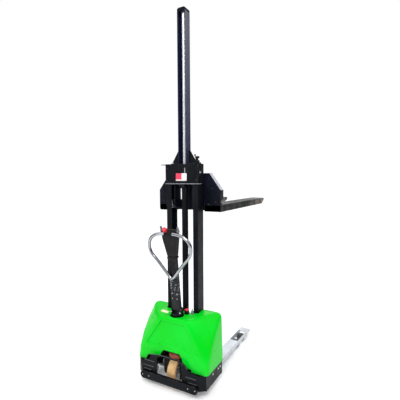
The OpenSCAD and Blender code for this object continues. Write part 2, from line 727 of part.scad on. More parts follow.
module drive_yoke() place() color([0.45, 0.16, 0.1]) translate([0, steer_y, 0]) union() {
    // head under the bearing plate and the spigot through it
    translate([0, 0, yoke_low]) cylinder(r = yoke_r, h = yoke_top - yoke_low, $fn = round_fn);
    translate([0, 0, yoke_top - over]) cylinder(r = bridge_bore, h = clear + 16 + over, $fn = round_fn);
    // gear case on one side of the wheel, its neck kept inside the head, guard plate on the other
    bar_x(2 * gear_case_r, -gear_case_x - gear_case_w, -gear_case_x, 0, wheel_z);
    block([-gear_case_x - gear_case_w, -gear_case_r, wheel_z], [-gear_case_x, gear_case_r, gear_case_top]);
    intersection() {
        translate([0, 0, wheel_z]) cylinder(r = yoke_r, h = yoke_top - wheel_z, $fn = round_fn);
        block([-gear_case_x - gear_case_w, -gear_case_r, gear_case_top - over],
              [-gear_case_x, gear_case_r, yoke_low + 3]);
    }
    block([guard_x, -gear_case_r, wheel_z - gear_case_r], [guard_x + plate_t, gear_case_r, yoke_low + 3]);
    bar_x(axle_d, -wheel_w / 2 - 14, wheel_w / 2 + 6, 0, wheel_z);
}

tread_t = 25;

module drive_wheel_hub() place() color(steel) translate([0, steer_y, wheel_z]) rotate([0, 90, 0]) difference() {
    cylinder(d = wheel_d - 2 * tread_t, h = wheel_w - 8, center = true, $fn = round_fn);
    cylinder(d = axle_d + 2 * slide_gap, h = wheel_w + 2, center = true, $fn = round_fn);
    for (end = [-1, 1]) translate([0, 0, end * (wheel_w / 2 - 10)])
        difference() {
            cylinder(d = wheel_d - 80, h = 16, center = true, $fn = round_fn);
            cylinder(d = 70, h = 18, center = true, $fn = round_fn);
        }
}
module drive_wheel_tread() place() color([0.78, 0.58, 0.36]) translate([0, steer_y, wheel_z])
    rotate([0, 90, 0]) difference() {
        cylinder(d = wheel_d, h = wheel_w, center = true, $fn = round_fn);
        cylinder(d = wheel_d - 2 * tread_t, h = wheel_w + 2, center = true, $fn = round_fn);
    }

motor_z = bridge_z + bridge_t + 6;
module drive_motor() place() color([0.2, 0.2, 0.22]) translate([0, steer_y, motor_z])
    cylinder(d = motor_d, h = motor_h, $fn = round_fn);

/* ---------- tiller ---------- */

pivot_pin_d = 14;

module tiller_base() place() color(black) translate([0, steer_y, 0]) difference() {
    union() {
        translate([0, 0, motor_z + motor_h])
            cylinder(d = 60, h = pivot_z - 34 - motor_z - motor_h, $fn = round_fn);
        translate([0, 0, pivot_z - 46]) cylinder(r = stem_hole - 2 * clear, h = 14, $fn = round_fn);
        both_sides() side_plate([[-ear_half, pivot_z - 40], [ear_half, pivot_z - 40], [20, pivot_z + 12],
                                 [8, pivot_z + 20], [-8, pivot_z + 20], [-20, pivot_z + 12]],
                                ear_x, ear_x + ear_t);
        bar_x(pivot_pin_d, -ear_x - ear_t - 2, ear_x + ear_t + 2, 0, pivot_z);
    }
}

// places a piece of the tiller, drawn upright from the pivot, at its parked lean
module on_tiller() place() translate([0, steer_y, pivot_z]) rotate([tiller_lean, 0, 0]) children();

head_low_w = tiller_len - head_len;
boss_r = 20;

module tiller_arm() on_tiller() color([0.1, 0.1, 0.11]) difference() {
    union() {
        bar_x(2 * boss_r, -arm_w / 2, arm_w / 2, 0, 0);
        side_plate([[-boss_r, 0], [boss_r, 0], [arm_d / 2, 90], [arm_d / 2, head_low_w],
                    [-arm_d / 2, head_low_w], [-arm_d / 2, 90]], -arm_w / 2, arm_w / 2);
    }
    bar_x(pivot_pin_d + 2 * slide_gap, -arm_w, arm_w, 0, 0);
}

module head_form() hull() {
    translate([0, 0, head_low_w + 5]) cube([arm_w + 8, arm_d + 8, 10], center = true);
    translate([0, -8, tiller_len - 70]) cube([head_w - 20, arm_d + 24, 30], center = true);
    translate([0, -14, tiller_len - 20]) rotate([0, 90, 0])
        cylinder(d = 40, h = head_w, center = true, $fn = small_fn);
}

module tiller_head() on_tiller() color([0.03, 0.03, 0.03]) head_form();

loop_half = loop_w / 2;
loop_y = -arm_d / 2 - loop_d / 2 - 4;
loop_in = head_w / 2 - 20;
loop_steps = 8;
loop_top = tiller_len - 38;
loop_wide = tiller_len - 152;
loop_low = head_low_w - 188;
loop_left = concat(
    [for (i = [0:loop_steps]) bezier([-loop_in, loop_top], [-loop_in - 85, loop_top],
        [-loop_half, loop_wide + 70], [-loop_half, loop_wide], i / loop_steps)],
    [for (i = [1:loop_steps]) bezier([-loop_half, loop_wide], [-loop_half, loop_wide - 50],
        [-loop_half + 20, loop_wide - 76], [-loop_half + 48, loop_wide - 102], i / loop_steps)],
    [for (i = [1:loop_steps]) bezier([-loop_half + 48, loop_wide - 102], [-60, loop_low + 68],
        [-26, loop_low], [0, loop_low], i / loop_steps)]);
loop_path = concat([for (p = loop_left) [p[0], loop_y, p[1]]],
                   [for (i = [len(loop_left) - 2:-1:0]) [-loop_left[i][0], loop_y, loop_left[i][1]]]);

// a tube swept along a path that lies in a plane of constant Y
module flat_tube(path, d, sides) {
    n = len(path);
    points = [for (i = [0:n - 1]) let (
        a = path[max(i - 1, 0)], b = path[min(i + 1, n - 1)], dir = (b - a) / norm(b - a),
        across = [dir[2], 0, -dir[0]])
        for (k = [0:sides - 1]) path[i] + d / 2 * (cos(360 * k / sides) * across
                                                   + sin(360 * k / sides) * [0, 1, 0])];
    walls = [for (i = [0:n - 2]) for (k = [0:sides - 1])
        [i * sides + k, (i + 1) * sides + k, (i + 1) * sides + (k + 1) % sides, i * sides + (k + 1) % sides]];
    polyhedron(points, concat([[for (k = [0:sides - 1]) k]], walls,
                              [[for (k = [sides - 1:-1:0]) (n - 1) * sides + k]]));
}

module tiller_loop() on_tiller() color("silver") difference() {
    flat_tube(loop_path, loop_d, 16);
    head_form();
}

module throttle_levers() on_tiller() color([0.35, 0.36, 0.38]) both_sides()
    translate([head_w / 2 + tiny, -14, tiller_len - 20]) rotate([0, 90, 0]) union() {
        cylinder(d = 30, h = 12, $fn = small_fn);
        translate([-8, 0, 4]) rotate([0, 0, 20]) block([-34, -9, 0], [0, 9, 8]);
    }

module belly_button() on_tiller() color("crimson")
    difference() {
        translate([-34, -30, tiller_len - 14]) rotate([50, 0, 0]) cylinder(d = 38, h = 26, $fn = round_fn);
        head_form();
    }

chassis_frame();
bumper_bar();
support_leg_left();
support_leg_right();
load_roller_axles();
load_roller_left_front();
load_roller_left_rear();
load_roller_right_front();
load_roller_right_rear();
castor_fork_left();
castor_fork_right();
castor_wheel_left();
castor_wheel_right();
mast_upright_left();
mast_upright_right();
mast_foot();
mast_crosshead();
column_guides();
lift_cylinder();
limit_switch();
rating_plate();
hood();
battery_pack();
hydraulic_power_pack();
emergency_stop_base();
emergency_stop_button();
key_switch();
lift_rod();
lift_column();
column_cap();
carriage_frame();
carriage_rollers();
fork_left();
fork_right();
drive_yoke();
drive_motor();
drive_wheel_hub();
drive_wheel_tread();
tiller_base();
tiller_arm();
tiller_head();
tiller_loop();
throttle_levers();
belly_button();
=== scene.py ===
"""Electric pallet stacker: finishes, moulded shells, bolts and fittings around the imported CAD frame."""
import json
from math import cos, hypot, pi, radians, sin, tau

import bmesh
import bpy
from mathutils import Matrix, Vector, noise
from mathutils.bvhtree import BVHTree


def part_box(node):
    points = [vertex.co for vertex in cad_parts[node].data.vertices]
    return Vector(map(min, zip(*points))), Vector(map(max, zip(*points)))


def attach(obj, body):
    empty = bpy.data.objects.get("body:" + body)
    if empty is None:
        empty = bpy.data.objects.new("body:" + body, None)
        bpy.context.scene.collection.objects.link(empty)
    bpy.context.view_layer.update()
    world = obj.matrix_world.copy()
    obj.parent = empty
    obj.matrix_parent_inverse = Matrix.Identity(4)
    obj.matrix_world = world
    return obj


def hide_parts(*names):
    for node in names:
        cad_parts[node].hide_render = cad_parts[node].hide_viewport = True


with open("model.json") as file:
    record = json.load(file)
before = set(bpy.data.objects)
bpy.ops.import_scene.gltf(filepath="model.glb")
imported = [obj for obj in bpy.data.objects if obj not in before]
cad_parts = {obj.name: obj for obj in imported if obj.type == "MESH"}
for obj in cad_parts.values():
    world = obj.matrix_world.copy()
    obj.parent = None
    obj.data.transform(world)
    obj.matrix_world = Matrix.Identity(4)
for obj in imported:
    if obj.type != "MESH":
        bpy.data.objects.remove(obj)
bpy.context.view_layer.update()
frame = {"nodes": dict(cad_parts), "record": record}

X, Y, Z = Vector((1, 0, 0)), Vector((0, 1, 0)), Vector((0, 0, 1))
NODES = frame["nodes"]
BODY_OF = {n: b for b, names in frame["record"]["behaviour"]["bodies"].items() for n in names}
SLOT_OF = {p["node"]: p["material_slot"] for p in frame["record"]["subparts"]}


def low(node):
    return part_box(node)[0]


def high(node):
    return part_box(node)[1]


def middle(node):
    return (low(node) + high(node)) / 2


# front face of the bumper, and the distance within which two points are one
BUMPER_FACE = round(low("bumper_bar").y, 4)
MERGE = 2e-5


def linked(made):
    bpy.context.scene.collection.objects.link(made)
    return made


def new_object(name, bm):
    """A mesh object at the origin that takes over the bmesh."""
    mesh = bpy.data.meshes.new(name)
    bm.to_mesh(mesh)
    bm.free()
    return linked(bpy.data.objects.new(name, mesh))


def evaluated(holder):
    """The bmesh of an object as its modifiers shape it; the object goes."""
    shape = bpy.data.meshes.new_from_object(holder.evaluated_get(bpy.context.evaluated_depsgraph_get()))
    bm = bmesh.new()
    bm.from_mesh(shape)
    bpy.data.meshes.remove(shape)
    bpy.data.objects.remove(holder)
    return bm


def outward(bm):
    bmesh.ops.recalc_face_normals(bm, faces=bm.faces)


# ---------- camera, light and floor ----------

def aim(at, yaw, pitch, roll):
    """A matrix that looks along -Z, turned yaw left of +Y, pitch up and roll clockwise, in degrees."""
    turn = Matrix.Rotation(radians(yaw), 4, "Z") @ Matrix.Rotation(radians(90 + pitch), 4, "X")
    return Matrix.Translation(at) @ turn @ Matrix.Rotation(radians(roll), 4, "Z")


def set_camera():
    data = bpy.data.cameras.new("camera")
    data.sensor_width = 36
    data.lens = 30.05
    data.clip_end = 200
    camera = linked(bpy.data.objects.new("camera", data))
    camera.matrix_world = aim((1.5296, -3.0885, 1.7852), 28.2546, -3.6144, -0.311)
    bpy.context.scene.camera = camera


def add_light(name, at, target, size, power, colour=(1, 1, 1)):
    data = bpy.data.lights.new(name, "AREA")
    data.shape = "RECTANGLE"
    data.size, data.size_y = size
    data.energy = power
    data.color = colour
    light = linked(bpy.data.objects.new(name, data))
    facing = (Vector(target) - Vector(at)).to_track_quat("-Z", "Y").to_matrix().to_4x4()
    light.matrix_world = Matrix.Translation(at) @ facing


def set_studio():
    """A white room to the eye; its reflections fall off towards a darker horizon, as in a light tent."""
    scene = bpy.context.scene
    scene.view_settings.view_transform = "Standard"
    world = bpy.data.worlds.new("studio")
    world.use_nodes = True
    tree = world.node_tree
    lit = tree.nodes["Background"]
    seen = tree.nodes.new("ShaderNodeBackground")
    seen.inputs["Color"].default_value = (1, 1, 1, 1)
    path = tree.nodes.new("ShaderNodeLightPath")
    both = tree.nodes.new("ShaderNodeMixShader")
    place = tree.nodes.new("ShaderNodeTexCoord")
    split = tree.nodes.new("ShaderNodeSeparateXYZ")
    ramp = tree.nodes.new("ShaderNodeValToRGB")
    ramp.color_ramp.elements[0].position, ramp.color_ramp.elements[0].color = 0.20, (0.04, 0.045, 0.055, 1)
    ramp.color_ramp.elements[1].position, ramp.color_ramp.elements[1].color = 0.62, (1.30, 1.30, 1.32, 1)
    tree.links.new(place.outputs["Generated"], split.inputs[0])
    tree.links.new(split.outputs[2], ramp.inputs[0])
    tree.links.new(ramp.outputs[0], lit.inputs["Color"])
    lit.inputs["Strength"].default_value = 1.0
    tree.links.new(path.outputs["Is Camera Ray"], both.inputs[0])
    tree.links.new(lit.outputs[0], both.inputs[1])
    tree.links.new(seen.outputs[0], both.inputs[2])
    tree.links.new(both.outputs[0], tree.nodes["World Output"].inputs["Surface"])
    scene.world = world
    add_light("key", (1.4, -4.2, 4.7), (0, -0.4, 0.7), (2.0, 1.8), 125)
    add_light("front_left", (-2.8, -4.2, 2.6), (0, -0.4, 0.7), (0.8, 2.6), 14)
    add_light("rear", (-1.6, 3.8, 3.8), (0, 0.2, 1.0), (2.4, 2.0), 40)
    floor = bmesh.new()
    bmesh.ops.create_grid(floor, x_segments=1, y_segments=1, size=40)
    ground = new_object("floor", floor)
    ground.data.materials.append(pale_floor())


# ---------- finishes ----------

# the height below which the drive head is painted near-black as shade for the wheel well
CASE_TOP = low("drive_yoke").z + 0.191


class Finish:
    """A material under construction: its shader and the links between its nodes."""

    def __init__(self, name, rough=0.5, metallic=0.0, coat=0.0, specular=0.5):
        self.material = bpy.data.materials.new(name)
        self.material.use_nodes = True
        self.tree = self.material.node_tree
        self.shader = self.tree.nodes["Principled BSDF"]
        self.shader.inputs["Metallic"].default_value = metallic
        self.shader.inputs["Roughness"].default_value = rough
        self.shader.inputs["Coat Weight"].default_value = coat
        self.shader.inputs["Specular IOR Level"].default_value = specular
        self.place = self.tree.nodes.new("ShaderNodeTexCoord").outputs["Object"]

    def node(self, kind, **settings):
        made = self.tree.nodes.new(kind)
        for key, value in settings.items():
            setattr(made, key, value)
        return made

    def link(self, source, socket):
        self.tree.links.new(source, socket)

    def stretched(self, scale):
        mapping = self.node("ShaderNodeMapping")
        mapping.inputs["Scale"].default_value = scale
        self.link(self.place, mapping.inputs["Vector"])
        return mapping.outputs["Vector"]

    def noise(self, scale, detail=4.0, stretch=None):
        """A soft random pattern from 0 to 1; scale is in ripples a metre."""
        made = self.node("ShaderNodeTexNoise")
        made.inputs["Scale"].default_value = scale
        made.inputs["Detail"].default_value = detail
        self.link(self.stretched(stretch) if stretch else self.place, made.inputs["Vector"])
        return made.outputs["Fac"]

    def ramp(self, value, start, end, low_out=0.0, high_out=1.0):
        made = self.node("ShaderNodeMapRange", clamp=True)
        for key, number in (("From Min", start), ("From Max", end), ("To Min", low_out), ("To Max", high_out)):
            made.inputs[key].default_value = number
        self.link(value, made.inputs["Value"])
        return made.outputs["Result"]

    def clouds(self, scale, detail, start, end, stretch=None):
        """A random pattern, cut to 0 below start and 1 above end."""
        return self.ramp(self.noise(scale, detail, stretch), start, end)

    def times(self, a, b):
        made = self.node("ShaderNodeMath", operation="MULTIPLY", use_clamp=True)
        for socket, value in zip(made.inputs, (a, b)):
            if isinstance(value, (int, float)):
                socket.default_value = value
            else:
                self.link(value, socket)
        return made.outputs[0]

    def along(self, axis):
        split = self.node("ShaderNodeSeparateXYZ")
        self.link(self.place, split.inputs[0])
        return split.outputs[axis]

    def mix(self, amount, under, over):
        made = self.node("ShaderNodeMix", data_type="RGBA")
        self.link(amount, made.inputs["Factor"])
        for socket, value in ((made.inputs[6], under), (made.inputs[7], over)):
            if isinstance(value, tuple):
                socket.default_value = (*value, 1)
            else:
                self.link(value, socket)
        return made.outputs[2]

    def edges(self, radius, sharpness=0.12):
        """1 on outer and inner edges of the shape, 0 on its flats."""
        rounded = self.node("ShaderNodeBevel", samples=4)
        rounded.inputs["Radius"].default_value = radius
        plain = self.node("ShaderNodeNewGeometry")
        dot = self.node("ShaderNodeVectorMath", operation="DOT_PRODUCT")
        self.link(rounded.outputs["Normal"], dot.inputs[0])
        self.link(plain.outputs["Normal"], dot.inputs[1])
        return self.ramp(dot.outputs["Value"], 1.0 - sharpness, 0.995, 1.0, 0.0)

    def finished(self, *layers):
        """The material with its bumps: a pattern or a noise's settings, then a strength and a depth in metres."""
        before = None
        for *pattern, strength, depth in layers:
            made = self.node("ShaderNodeBump")
            made.inputs["Strength"].default_value = strength
            made.inputs["Distance"].default_value = depth
            self.link(pattern[0] if len(pattern) == 1 else self.noise(*pattern), made.inputs["Height"])
            if before:
                self.link(before, made.inputs["Normal"])
            before = made.outputs["Normal"]
        if before:
            self.link(before, self.shader.inputs["Normal"])
        return self.material

    def colour(self, value):
        self.link(value, self.shader.inputs["Base Color"])

    def rough(self, scale, detail, least, most, start=0.3, stretch=None):
        pattern = self.noise(scale, detail, stretch)
        self.link(self.ramp(pattern, start, 0.7, least, most), self.shader.inputs["Roughness"])

    def worn(self, radius, scale, start, end, detail=5.0):
        """The shape's edges, broken up by a random pattern."""
        return self.times(self.edges(radius), self.clouds(scale, detail, start, end))


def enamel(name, base, light, rough, coat=0.0, wear=(0.20, 0.20, 0.21), worn=0.5, dust=0.10):
    """Sprayed paint: orange peel, cloudy tone, rubbed edges, fine scratches and a little dust."""
    f = Finish(name, coat=coat, specular=0.09)
    f.shader.inputs["Coat Roughness"].default_value = 0.22
    cloud = f.clouds(5.0, 5.0, 0.35, 0.68)
    tone = f.mix(cloud, base, light)
    scratch = f.clouds(60.0, 3.0, 0.66, 0.74, (1, 1, 0.06))
    patch = f.clouds(9.0, 3.0, 0.52, 0.66)
    tone = f.mix(f.times(f.times(scratch, patch), dust * 3), tone, wear)
    edge = f.worn(0.003, 38.0, 0.42, 0.60)
    tone = f.mix(f.times(edge, worn), tone, wear)
    f.colour(tone)
    f.rough(14.0, 4.0, rough - 0.07, rough + 0.12)
    return f.finished((420.0, 2.0, 0.10, 0.0006), (34.0, 3.0, 0.12, 0.0012))


def pale_floor():
    f = Finish("pale_floor", rough=0.65, specular=0.2)
    f.colour(f.mix(f.noise(1.2, 3.0), (0.90, 0.90, 0.90), (0.92, 0.92, 0.92)))
    f.shader.inputs["Emission Color"].default_value = (1, 1, 1, 1)
    f.shader.inputs["Emission Strength"].default_value = 0.14
    return f.finished()


def moulded_green():
    """Glossy rotomoulded shell: flow clouds, faint peel, fine scuffs, and patches of darker green towards its foot.
    """
    f = Finish("moulded_green", coat=0.14, specular=0.08)
    f.shader.inputs["Coat Roughness"].default_value = 0.10
    tone = f.mix(f.clouds(3.2, 3.0, 0.3, 0.7), (0.0, 0.58, 0.006), (0.0, 0.68, 0.024))
    scuff = f.times(f.clouds(70.0, 4.0, 0.66, 0.76, (1, 1, 0.12)), f.clouds(6.0, 2.0, 0.5, 0.66))
    tone = f.mix(f.times(scuff, 0.35), tone, (0.20, 0.80, 0.24))
    foot = f.times(f.ramp(f.along(2), 0.19, 0.27, 1.0, 0.0), f.clouds(22.0, 5.0, 0.4, 0.62))
    tone = f.mix(f.times(foot, 0.35), tone, (0.03, 0.20, 0.03))
    f.colour(tone)
    f.rough(11.0, 4.0, 0.24, 0.38)
    return f.finished((260.0, 2.0, 0.07, 0.0006), (16.0, 2.0, 0.10, 0.0025))


def plated(name, base, light, rough, metallic=1.0):
    """Plated tube or rod: clouded tone, drawn-out wipe marks and a varied shine."""
    f = Finish(name, metallic=metallic)
    f.colour(f.mix(f.clouds(7.0, 3.0, 0.3, 0.7), base, light))
    f.rough(48.0, 4.0, rough, rough + 0.15, 0.35, (1, 1, 0.1))
    return f.finished((500.0, 2.0, (1, 1, 0.05), 0.04, 0.0003))


def machined_steel(name="machined_steel", base=(0.46, 0.46, 0.47), light=(0.64, 0.64, 0.65), rough=0.32):
    """Zinc-plated or turned steel with tool marks and slight tarnish."""
    f = Finish(name, metallic=1.0)
    tone = f.mix(f.clouds(30.0, 4.0, 0.35, 0.68), base, light)
    f.colour(f.mix(f.clouds(90.0, 5.0, 0.62, 0.74), tone, (0.23, 0.19, 0.15)))
    f.rough(120.0, 3.0, rough - 0.10, rough + 0.15)
    return f.finished((700.0, 2.0, 0.08, 0.0003))


def leg_silver():
    """Silver-grey paint on the legs, rubbed along the edges, with painted shade in patches low down on their sides.
    """
    f = Finish("leg_silver", metallic=0.35, coat=0.15, specular=0.45)
    tone = f.mix(f.clouds(7.0, 5.0, 0.3, 0.7), (0.50, 0.53, 0.57), (0.62, 0.65, 0.69))
    streak = f.times(f.clouds(90.0, 4.0, 0.60, 0.70, (1, 0.05, 1)), f.clouds(6.0, 3.0, 0.45, 0.6))
    tone = f.mix(f.times(streak, 0.6), tone, (0.22, 0.23, 0.25))
    # Painted shade: the legs' lower sides darken in patches, as sides in shadow.
    dark_patches = f.times(f.ramp(f.along(2), 0.035, 0.075, 1.0, 0.0), f.clouds(30.0, 5.0, 0.35, 0.62))
    tone = f.mix(f.times(dark_patches, 0.5), tone, (0.16, 0.15, 0.14))
    edge = f.worn(0.003, 45.0, 0.4, 0.58)
    f.colour(f.mix(f.times(edge, 0.6), tone, (0.75, 0.76, 0.78)))
    f.rough(18.0, 4.0, 0.32, 0.50)
    return f.finished((380.0, 2.0, 0.10, 0.0006), (28.0, 3.0, 0.14, 0.001))


def fork_black():
    """Dark fork paint that the pallets have rubbed away towards the tips and on the top."""
    f = Finish("fork_black", specular=0.12)
    tone = f.mix(f.clouds(6.0, 5.0, 0.35, 0.68), (0.0045, 0.0043, 0.0045), (0.014, 0.013, 0.0125))
    start = high("fork_right").y - 0.62
    reach = f.times(f.ramp(f.along(1), start, start + 0.45), f.clouds(15.0, 5.0, 0.30, 0.55))
    rubbed = f.mix(f.clouds(50.0, 5.0, 0.4, 0.65, (1, 0.12, 1)), (0.12, 0.10, 0.085), (0.30, 0.27, 0.24))
    tone = f.mix(f.times(reach, 0.92), tone, rubbed)
    drag = f.times(f.clouds(110.0, 3.0, 0.62, 0.70, (1, 0.04, 1)), f.clouds(5.0, 3.0, 0.42, 0.6))
    tone = f.mix(f.times(drag, 0.55), tone, (0.34, 0.32, 0.30))
    edge = f.worn(0.004, 40.0, 0.38, 0.58)
    f.colour(f.mix(f.times(edge, 0.6), tone, (0.30, 0.27, 0.24)))
    f.rough(20.0, 4.0, 0.34, 0.60)
    return f.finished((300.0, 3.0, 0.14, 0.0006), (26.0, 3.0, 0.16, 0.0012))


def primer_and_shaded_case():
    """Red-brown primer on the cast head; the gear case under it is painted near-black as shade, standing in for the
    shadow in the wheel well.
    """
    f = Finish("primer_and_shaded_case", specular=0.22)
    tone = f.mix(f.clouds(24.0, 5.0, 0.35, 0.66), (0.20, 0.045, 0.022), (0.36, 0.10, 0.05))
    tone = f.mix(f.clouds(70.0, 5.0, 0.58, 0.72), tone, (0.10, 0.06, 0.05))
    # Painted shade: below CASE_TOP the gear case is near-black, standing in for the shadow in the wheel well.
    painted_shade_black = f.mix(f.clouds(30.0, 5.0, 0.35, 0.66), (0.004, 0.004, 0.005), (0.014, 0.013, 0.013))
    f.colour(f.mix(f.ramp(f.along(2), CASE_TOP, CASE_TOP + 0.001), painted_shade_black, tone))
    f.rough(40.0, 4.0, 0.55, 0.8)
    return f.finished((240.0, 4.0, 0.30, 0.001))


def column_navy():
    """Navy enamel on the lift column, its outer sides greyed where the guide pads run."""
    f = Finish("column_navy", specular=0.2)
    tone = f.mix(f.clouds(5.0, 5.0, 0.35, 0.68, (1, 1, 0.3)), (0.006, 0.009, 0.028), (0.013, 0.017, 0.052))
    grey = f.mix(f.clouds(9.0, 4.0, 0.3, 0.7, (1, 1, 0.15)), (0.060, 0.060, 0.095), (0.110, 0.112, 0.150))
    flank = high("lift_column").x
    side = f.ramp(f.times(f.along(0), f.along(0)), (flank - 0.0020) ** 2, (flank - 0.0012) ** 2)
    tall = f.ramp(f.along(2), 2.0, 2.9, 0.30, 1.0)
    tone = f.mix(f.times(side, tall), tone, grey)
    scratch = f.times(f.clouds(120.0, 3.0, 0.64, 0.72, (1, 1, 0.03)), f.clouds(7.0, 3.0, 0.5, 0.64))
    tone = f.mix(f.times(scratch, 0.4), tone, (0.22, 0.22, 0.25))
    edge = f.worn(0.003, 38.0, 0.42, 0.60)
    f.colour(f.mix(f.times(edge, 0.4), tone, (0.20, 0.20, 0.22)))
    f.rough(14.0, 4.0, 0.26, 0.44)
    return f.finished((420.0, 2.0, 0.10, 0.0006), (34.0, 3.0, 0.12, 0.0012))


def rubbery(name, base, light, rough, dirt, soiled=0.5):
    """Tyre stock: mottled, with dirt pressed into it and run-in marks round the tread."""
    f = Finish(name, specular=0.35)
    tone = f.mix(f.clouds(18.0, 4.0, 0.35, 0.66), base, light)
    marks = f.clouds(60.0, 5.0, 0.52, 0.68, (2.2, 0.6, 0.6))
    f.colour(f.mix(f.times(marks, soiled), tone, dirt))
    f.rough(60.0, 4.0, rough - 0.1, rough + 0.12)
    return f.finished((320.0, 3.0, 0.18, 0.0006))


def grained(name, base, light, rough, grain=900.0):
    """Injection-moulded plastic with a fine leather-like grain."""
    f = Finish(name, specular=0.16)
    tone = f.mix(f.clouds(12.0, 4.0, 0.35, 0.68), base, light)
    rubbed = f.worn(0.003, 40.0, 0.4, 0.6, 4.0)
    f.colour(f.mix(f.times(rubbed, 0.35), tone, tuple(min(1, c * 2.4 + 0.03) for c in light)))
    f.rough(30.0, 4.0, rough - 0.08, rough + 0.1)
    cells = f.node("ShaderNodeTexVoronoi", feature="SMOOTH_F1")
    cells.inputs["Scale"].default_value = grain
    f.link(f.place, cells.inputs["Vector"])
    return f.finished((cells.outputs["Distance"], 0.18, 0.0004), (30.0, 2.0, 0.06, 0.001))


def arm_coat():
    """Charcoal powder coat on the tiller arm, speckled with chips low on its front."""
    f = Finish("arm_coat", specular=0.18)
    tone = f.mix(f.clouds(10.0, 4.0, 0.35, 0.66), (0.008, 0.008, 0.010), (0.024, 0.025, 0.029))
    band = f.times(f.ramp(f.along(2), 0.985, 0.955), f.ramp(f.along(2), 0.765, 0.830))
    chips = f.times(f.clouds(75.0, 4.0, 0.575, 0.63), band)
    tone = f.mix(f.times(chips, 0.75), tone, (0.42, 0.43, 0.45))
    edge = f.worn(0.0035, 50.0, 0.42, 0.58)
    f.colour(f.mix(f.times(edge, 0.6), tone, (0.34, 0.34, 0.35)))
    f.rough(26.0, 4.0, 0.36, 0.54)
    return f.finished((620.0, 2.0, 0.22, 0.0006))


def signal_red():
    f = Finish("signal_red", coat=0.3, specular=0.5)
    tone = f.mix(f.clouds(22.0, 3.0, 0.35, 0.66), (0.62, 0.016, 0.040), (0.78, 0.030, 0.065))
    # Painted highlight: every edge is lightened evenly towards pale red.
    f.colour(f.mix(f.times(f.edges(0.002), 0.3), tone, (0.85, 0.25, 0.25)))
    f.rough(50.0, 4.0, 0.24, 0.40)
    return f.finished((500.0, 2.0, 0.06, 0.0004))


def plate_print():
    """Blank two-tone plate: red at its left, white at its right, a pale strip along its foot."""
    f = Finish("plate_print", rough=0.35, specular=0.45)
    centre = middle("rating_plate")
    paper = f.mix(f.noise(60.0, 3.0), (0.80, 0.80, 0.81), (0.90, 0.90, 0.90))
    red = f.mix(f.noise(45.0, 3.0), (0.66, 0.030, 0.085), (0.78, 0.060, 0.120))
    tone = f.mix(f.ramp(f.along(0), centre.x + 0.004, centre.x + 0.006), red, paper)
    strip_top = low("rating_plate").z + 0.012
    tone = f.mix(f.ramp(f.along(2), strip_top, strip_top + 0.001, 1.0, 0.0), tone, (0.70, 0.62, 0.60))
    # Soil on the plate, in dark patches.
    dark_patches = f.clouds(26.0, 5.0, 0.56, 0.72)
    f.colour(f.mix(f.times(dark_patches, 0.3), tone, (0.30, 0.28, 0.27)))
    f.rough(40.0, 3.0, 0.26, 0.44)
    return f.finished()


def paper_strip():
    f = Finish("paper_strip", specular=0.4)
    tone = f.mix(f.noise(50.0, 3.0), (0.83, 0.77, 0.42), (0.92, 0.88, 0.62))
    f.colour(f.mix(f.times(f.clouds(30.0, 5.0, 0.58, 0.72), 0.3), tone, (0.40, 0.42, 0.20)))
    f.rough(60.0, 3.0, 0.34, 0.52)
    return f.finished()


def weld_bead():
    f = Finish("weld_bead", specular=0.35)
    f.colour(f.mix(f.noise(60.0, 4.0), (0.006, 0.007, 0.010), (0.024, 0.024, 0.028)))
    f.rough(60.0, 3.0, 0.34, 0.55)
    ripple = f.node("ShaderNodeTexWave", wave_type="BANDS", bands_direction="DIAGONAL")
    ripple.inputs["Scale"].default_value = 70.0
    ripple.inputs["Distortion"].default_value = 3.0
    f.link(f.place, ripple.inputs["Vector"])
    return f.finished((ripple.outputs["Fac"], 0.6, 0.0012), (300.0, 3.0, 0.2, 0.0006))


def make_finishes():
    return {
        "black_paint": enamel("black_enamel", (0.0030, 0.0038, 0.0050), (0.0075, 0.0090, 0.0120), 0.34),
        "carriage_paint": enamel("navy_black_enamel", (0.0026, 0.0034, 0.0075), (0.0065, 0.0080, 0.0160), 0.31),
        "grey_leg_paint": leg_silver(),
        "fork_paint": fork_black(),
        "column_navy": column_navy(),
        "yoke_paint": primer_and_shaded_case(),
        "hood_plastic": moulded_green(),
        "chrome": plated("hard_chrome", (0.86, 0.88, 0.93), (0.94, 0.96, 0.99), 0.22, 0.55),
        # A darker copy of the chrome for the handle loop: painted shade that dims its reflections.
        "shaded_loop_chrome": plated("shaded_loop_chrome", (0.26, 0.27, 0.29), (0.40, 0.41, 0.43), 0.05),
        "bright_steel": machined_steel(),
        "tread": rubbery("tan_tread", (0.60, 0.36, 0.15), (0.72, 0.47, 0.23), 0.5, (0.22, 0.13, 0.07), 0.4),
        "roller": rubbery("roller_stock", (0.030, 0.030, 0.032), (0.060, 0.060, 0.062), 0.5, (0.14, 0.13, 0.12)),
        "castor_tyre": rubbery("castor_rubber", (0.016, 0.016, 0.017), (0.035, 0.035, 0.036), 0.6,
                               (0.11, 0.10, 0.09)),
        "grip_plastic": grained("black_plastic", (0.0035, 0.0036, 0.0040), (0.0090, 0.0092, 0.0100), 0.40),
        "grey_plastic": grained("grey_plastic", (0.16, 0.165, 0.18), (0.24, 0.25, 0.265), 0.40),
        "block_grey": grained("casing_plastic", (0.035, 0.035, 0.038), (0.065, 0.066, 0.070), 0.5, 400.0),
        "arm_paint": arm_coat(),
        "red_plastic": signal_red(),
        "plate_face": plate_print(),
        "paper": paper_strip(),
        "weld": weld_bead(),
        "rubbed_black": enamel("rubbed_black", (0.045, 0.046, 0.052), (0.110, 0.112, 0.122), 0.42),
        # Light grey enamel: a painted highlight on the crosshead lip, and bare primer on the carriage's flange bands.
        "primer_and_highlight": enamel("primer_and_highlight", (0.40, 0.41, 0.47), (0.52, 0.53, 0.60), 0.46),
    }


# ---------- making pieces ----------

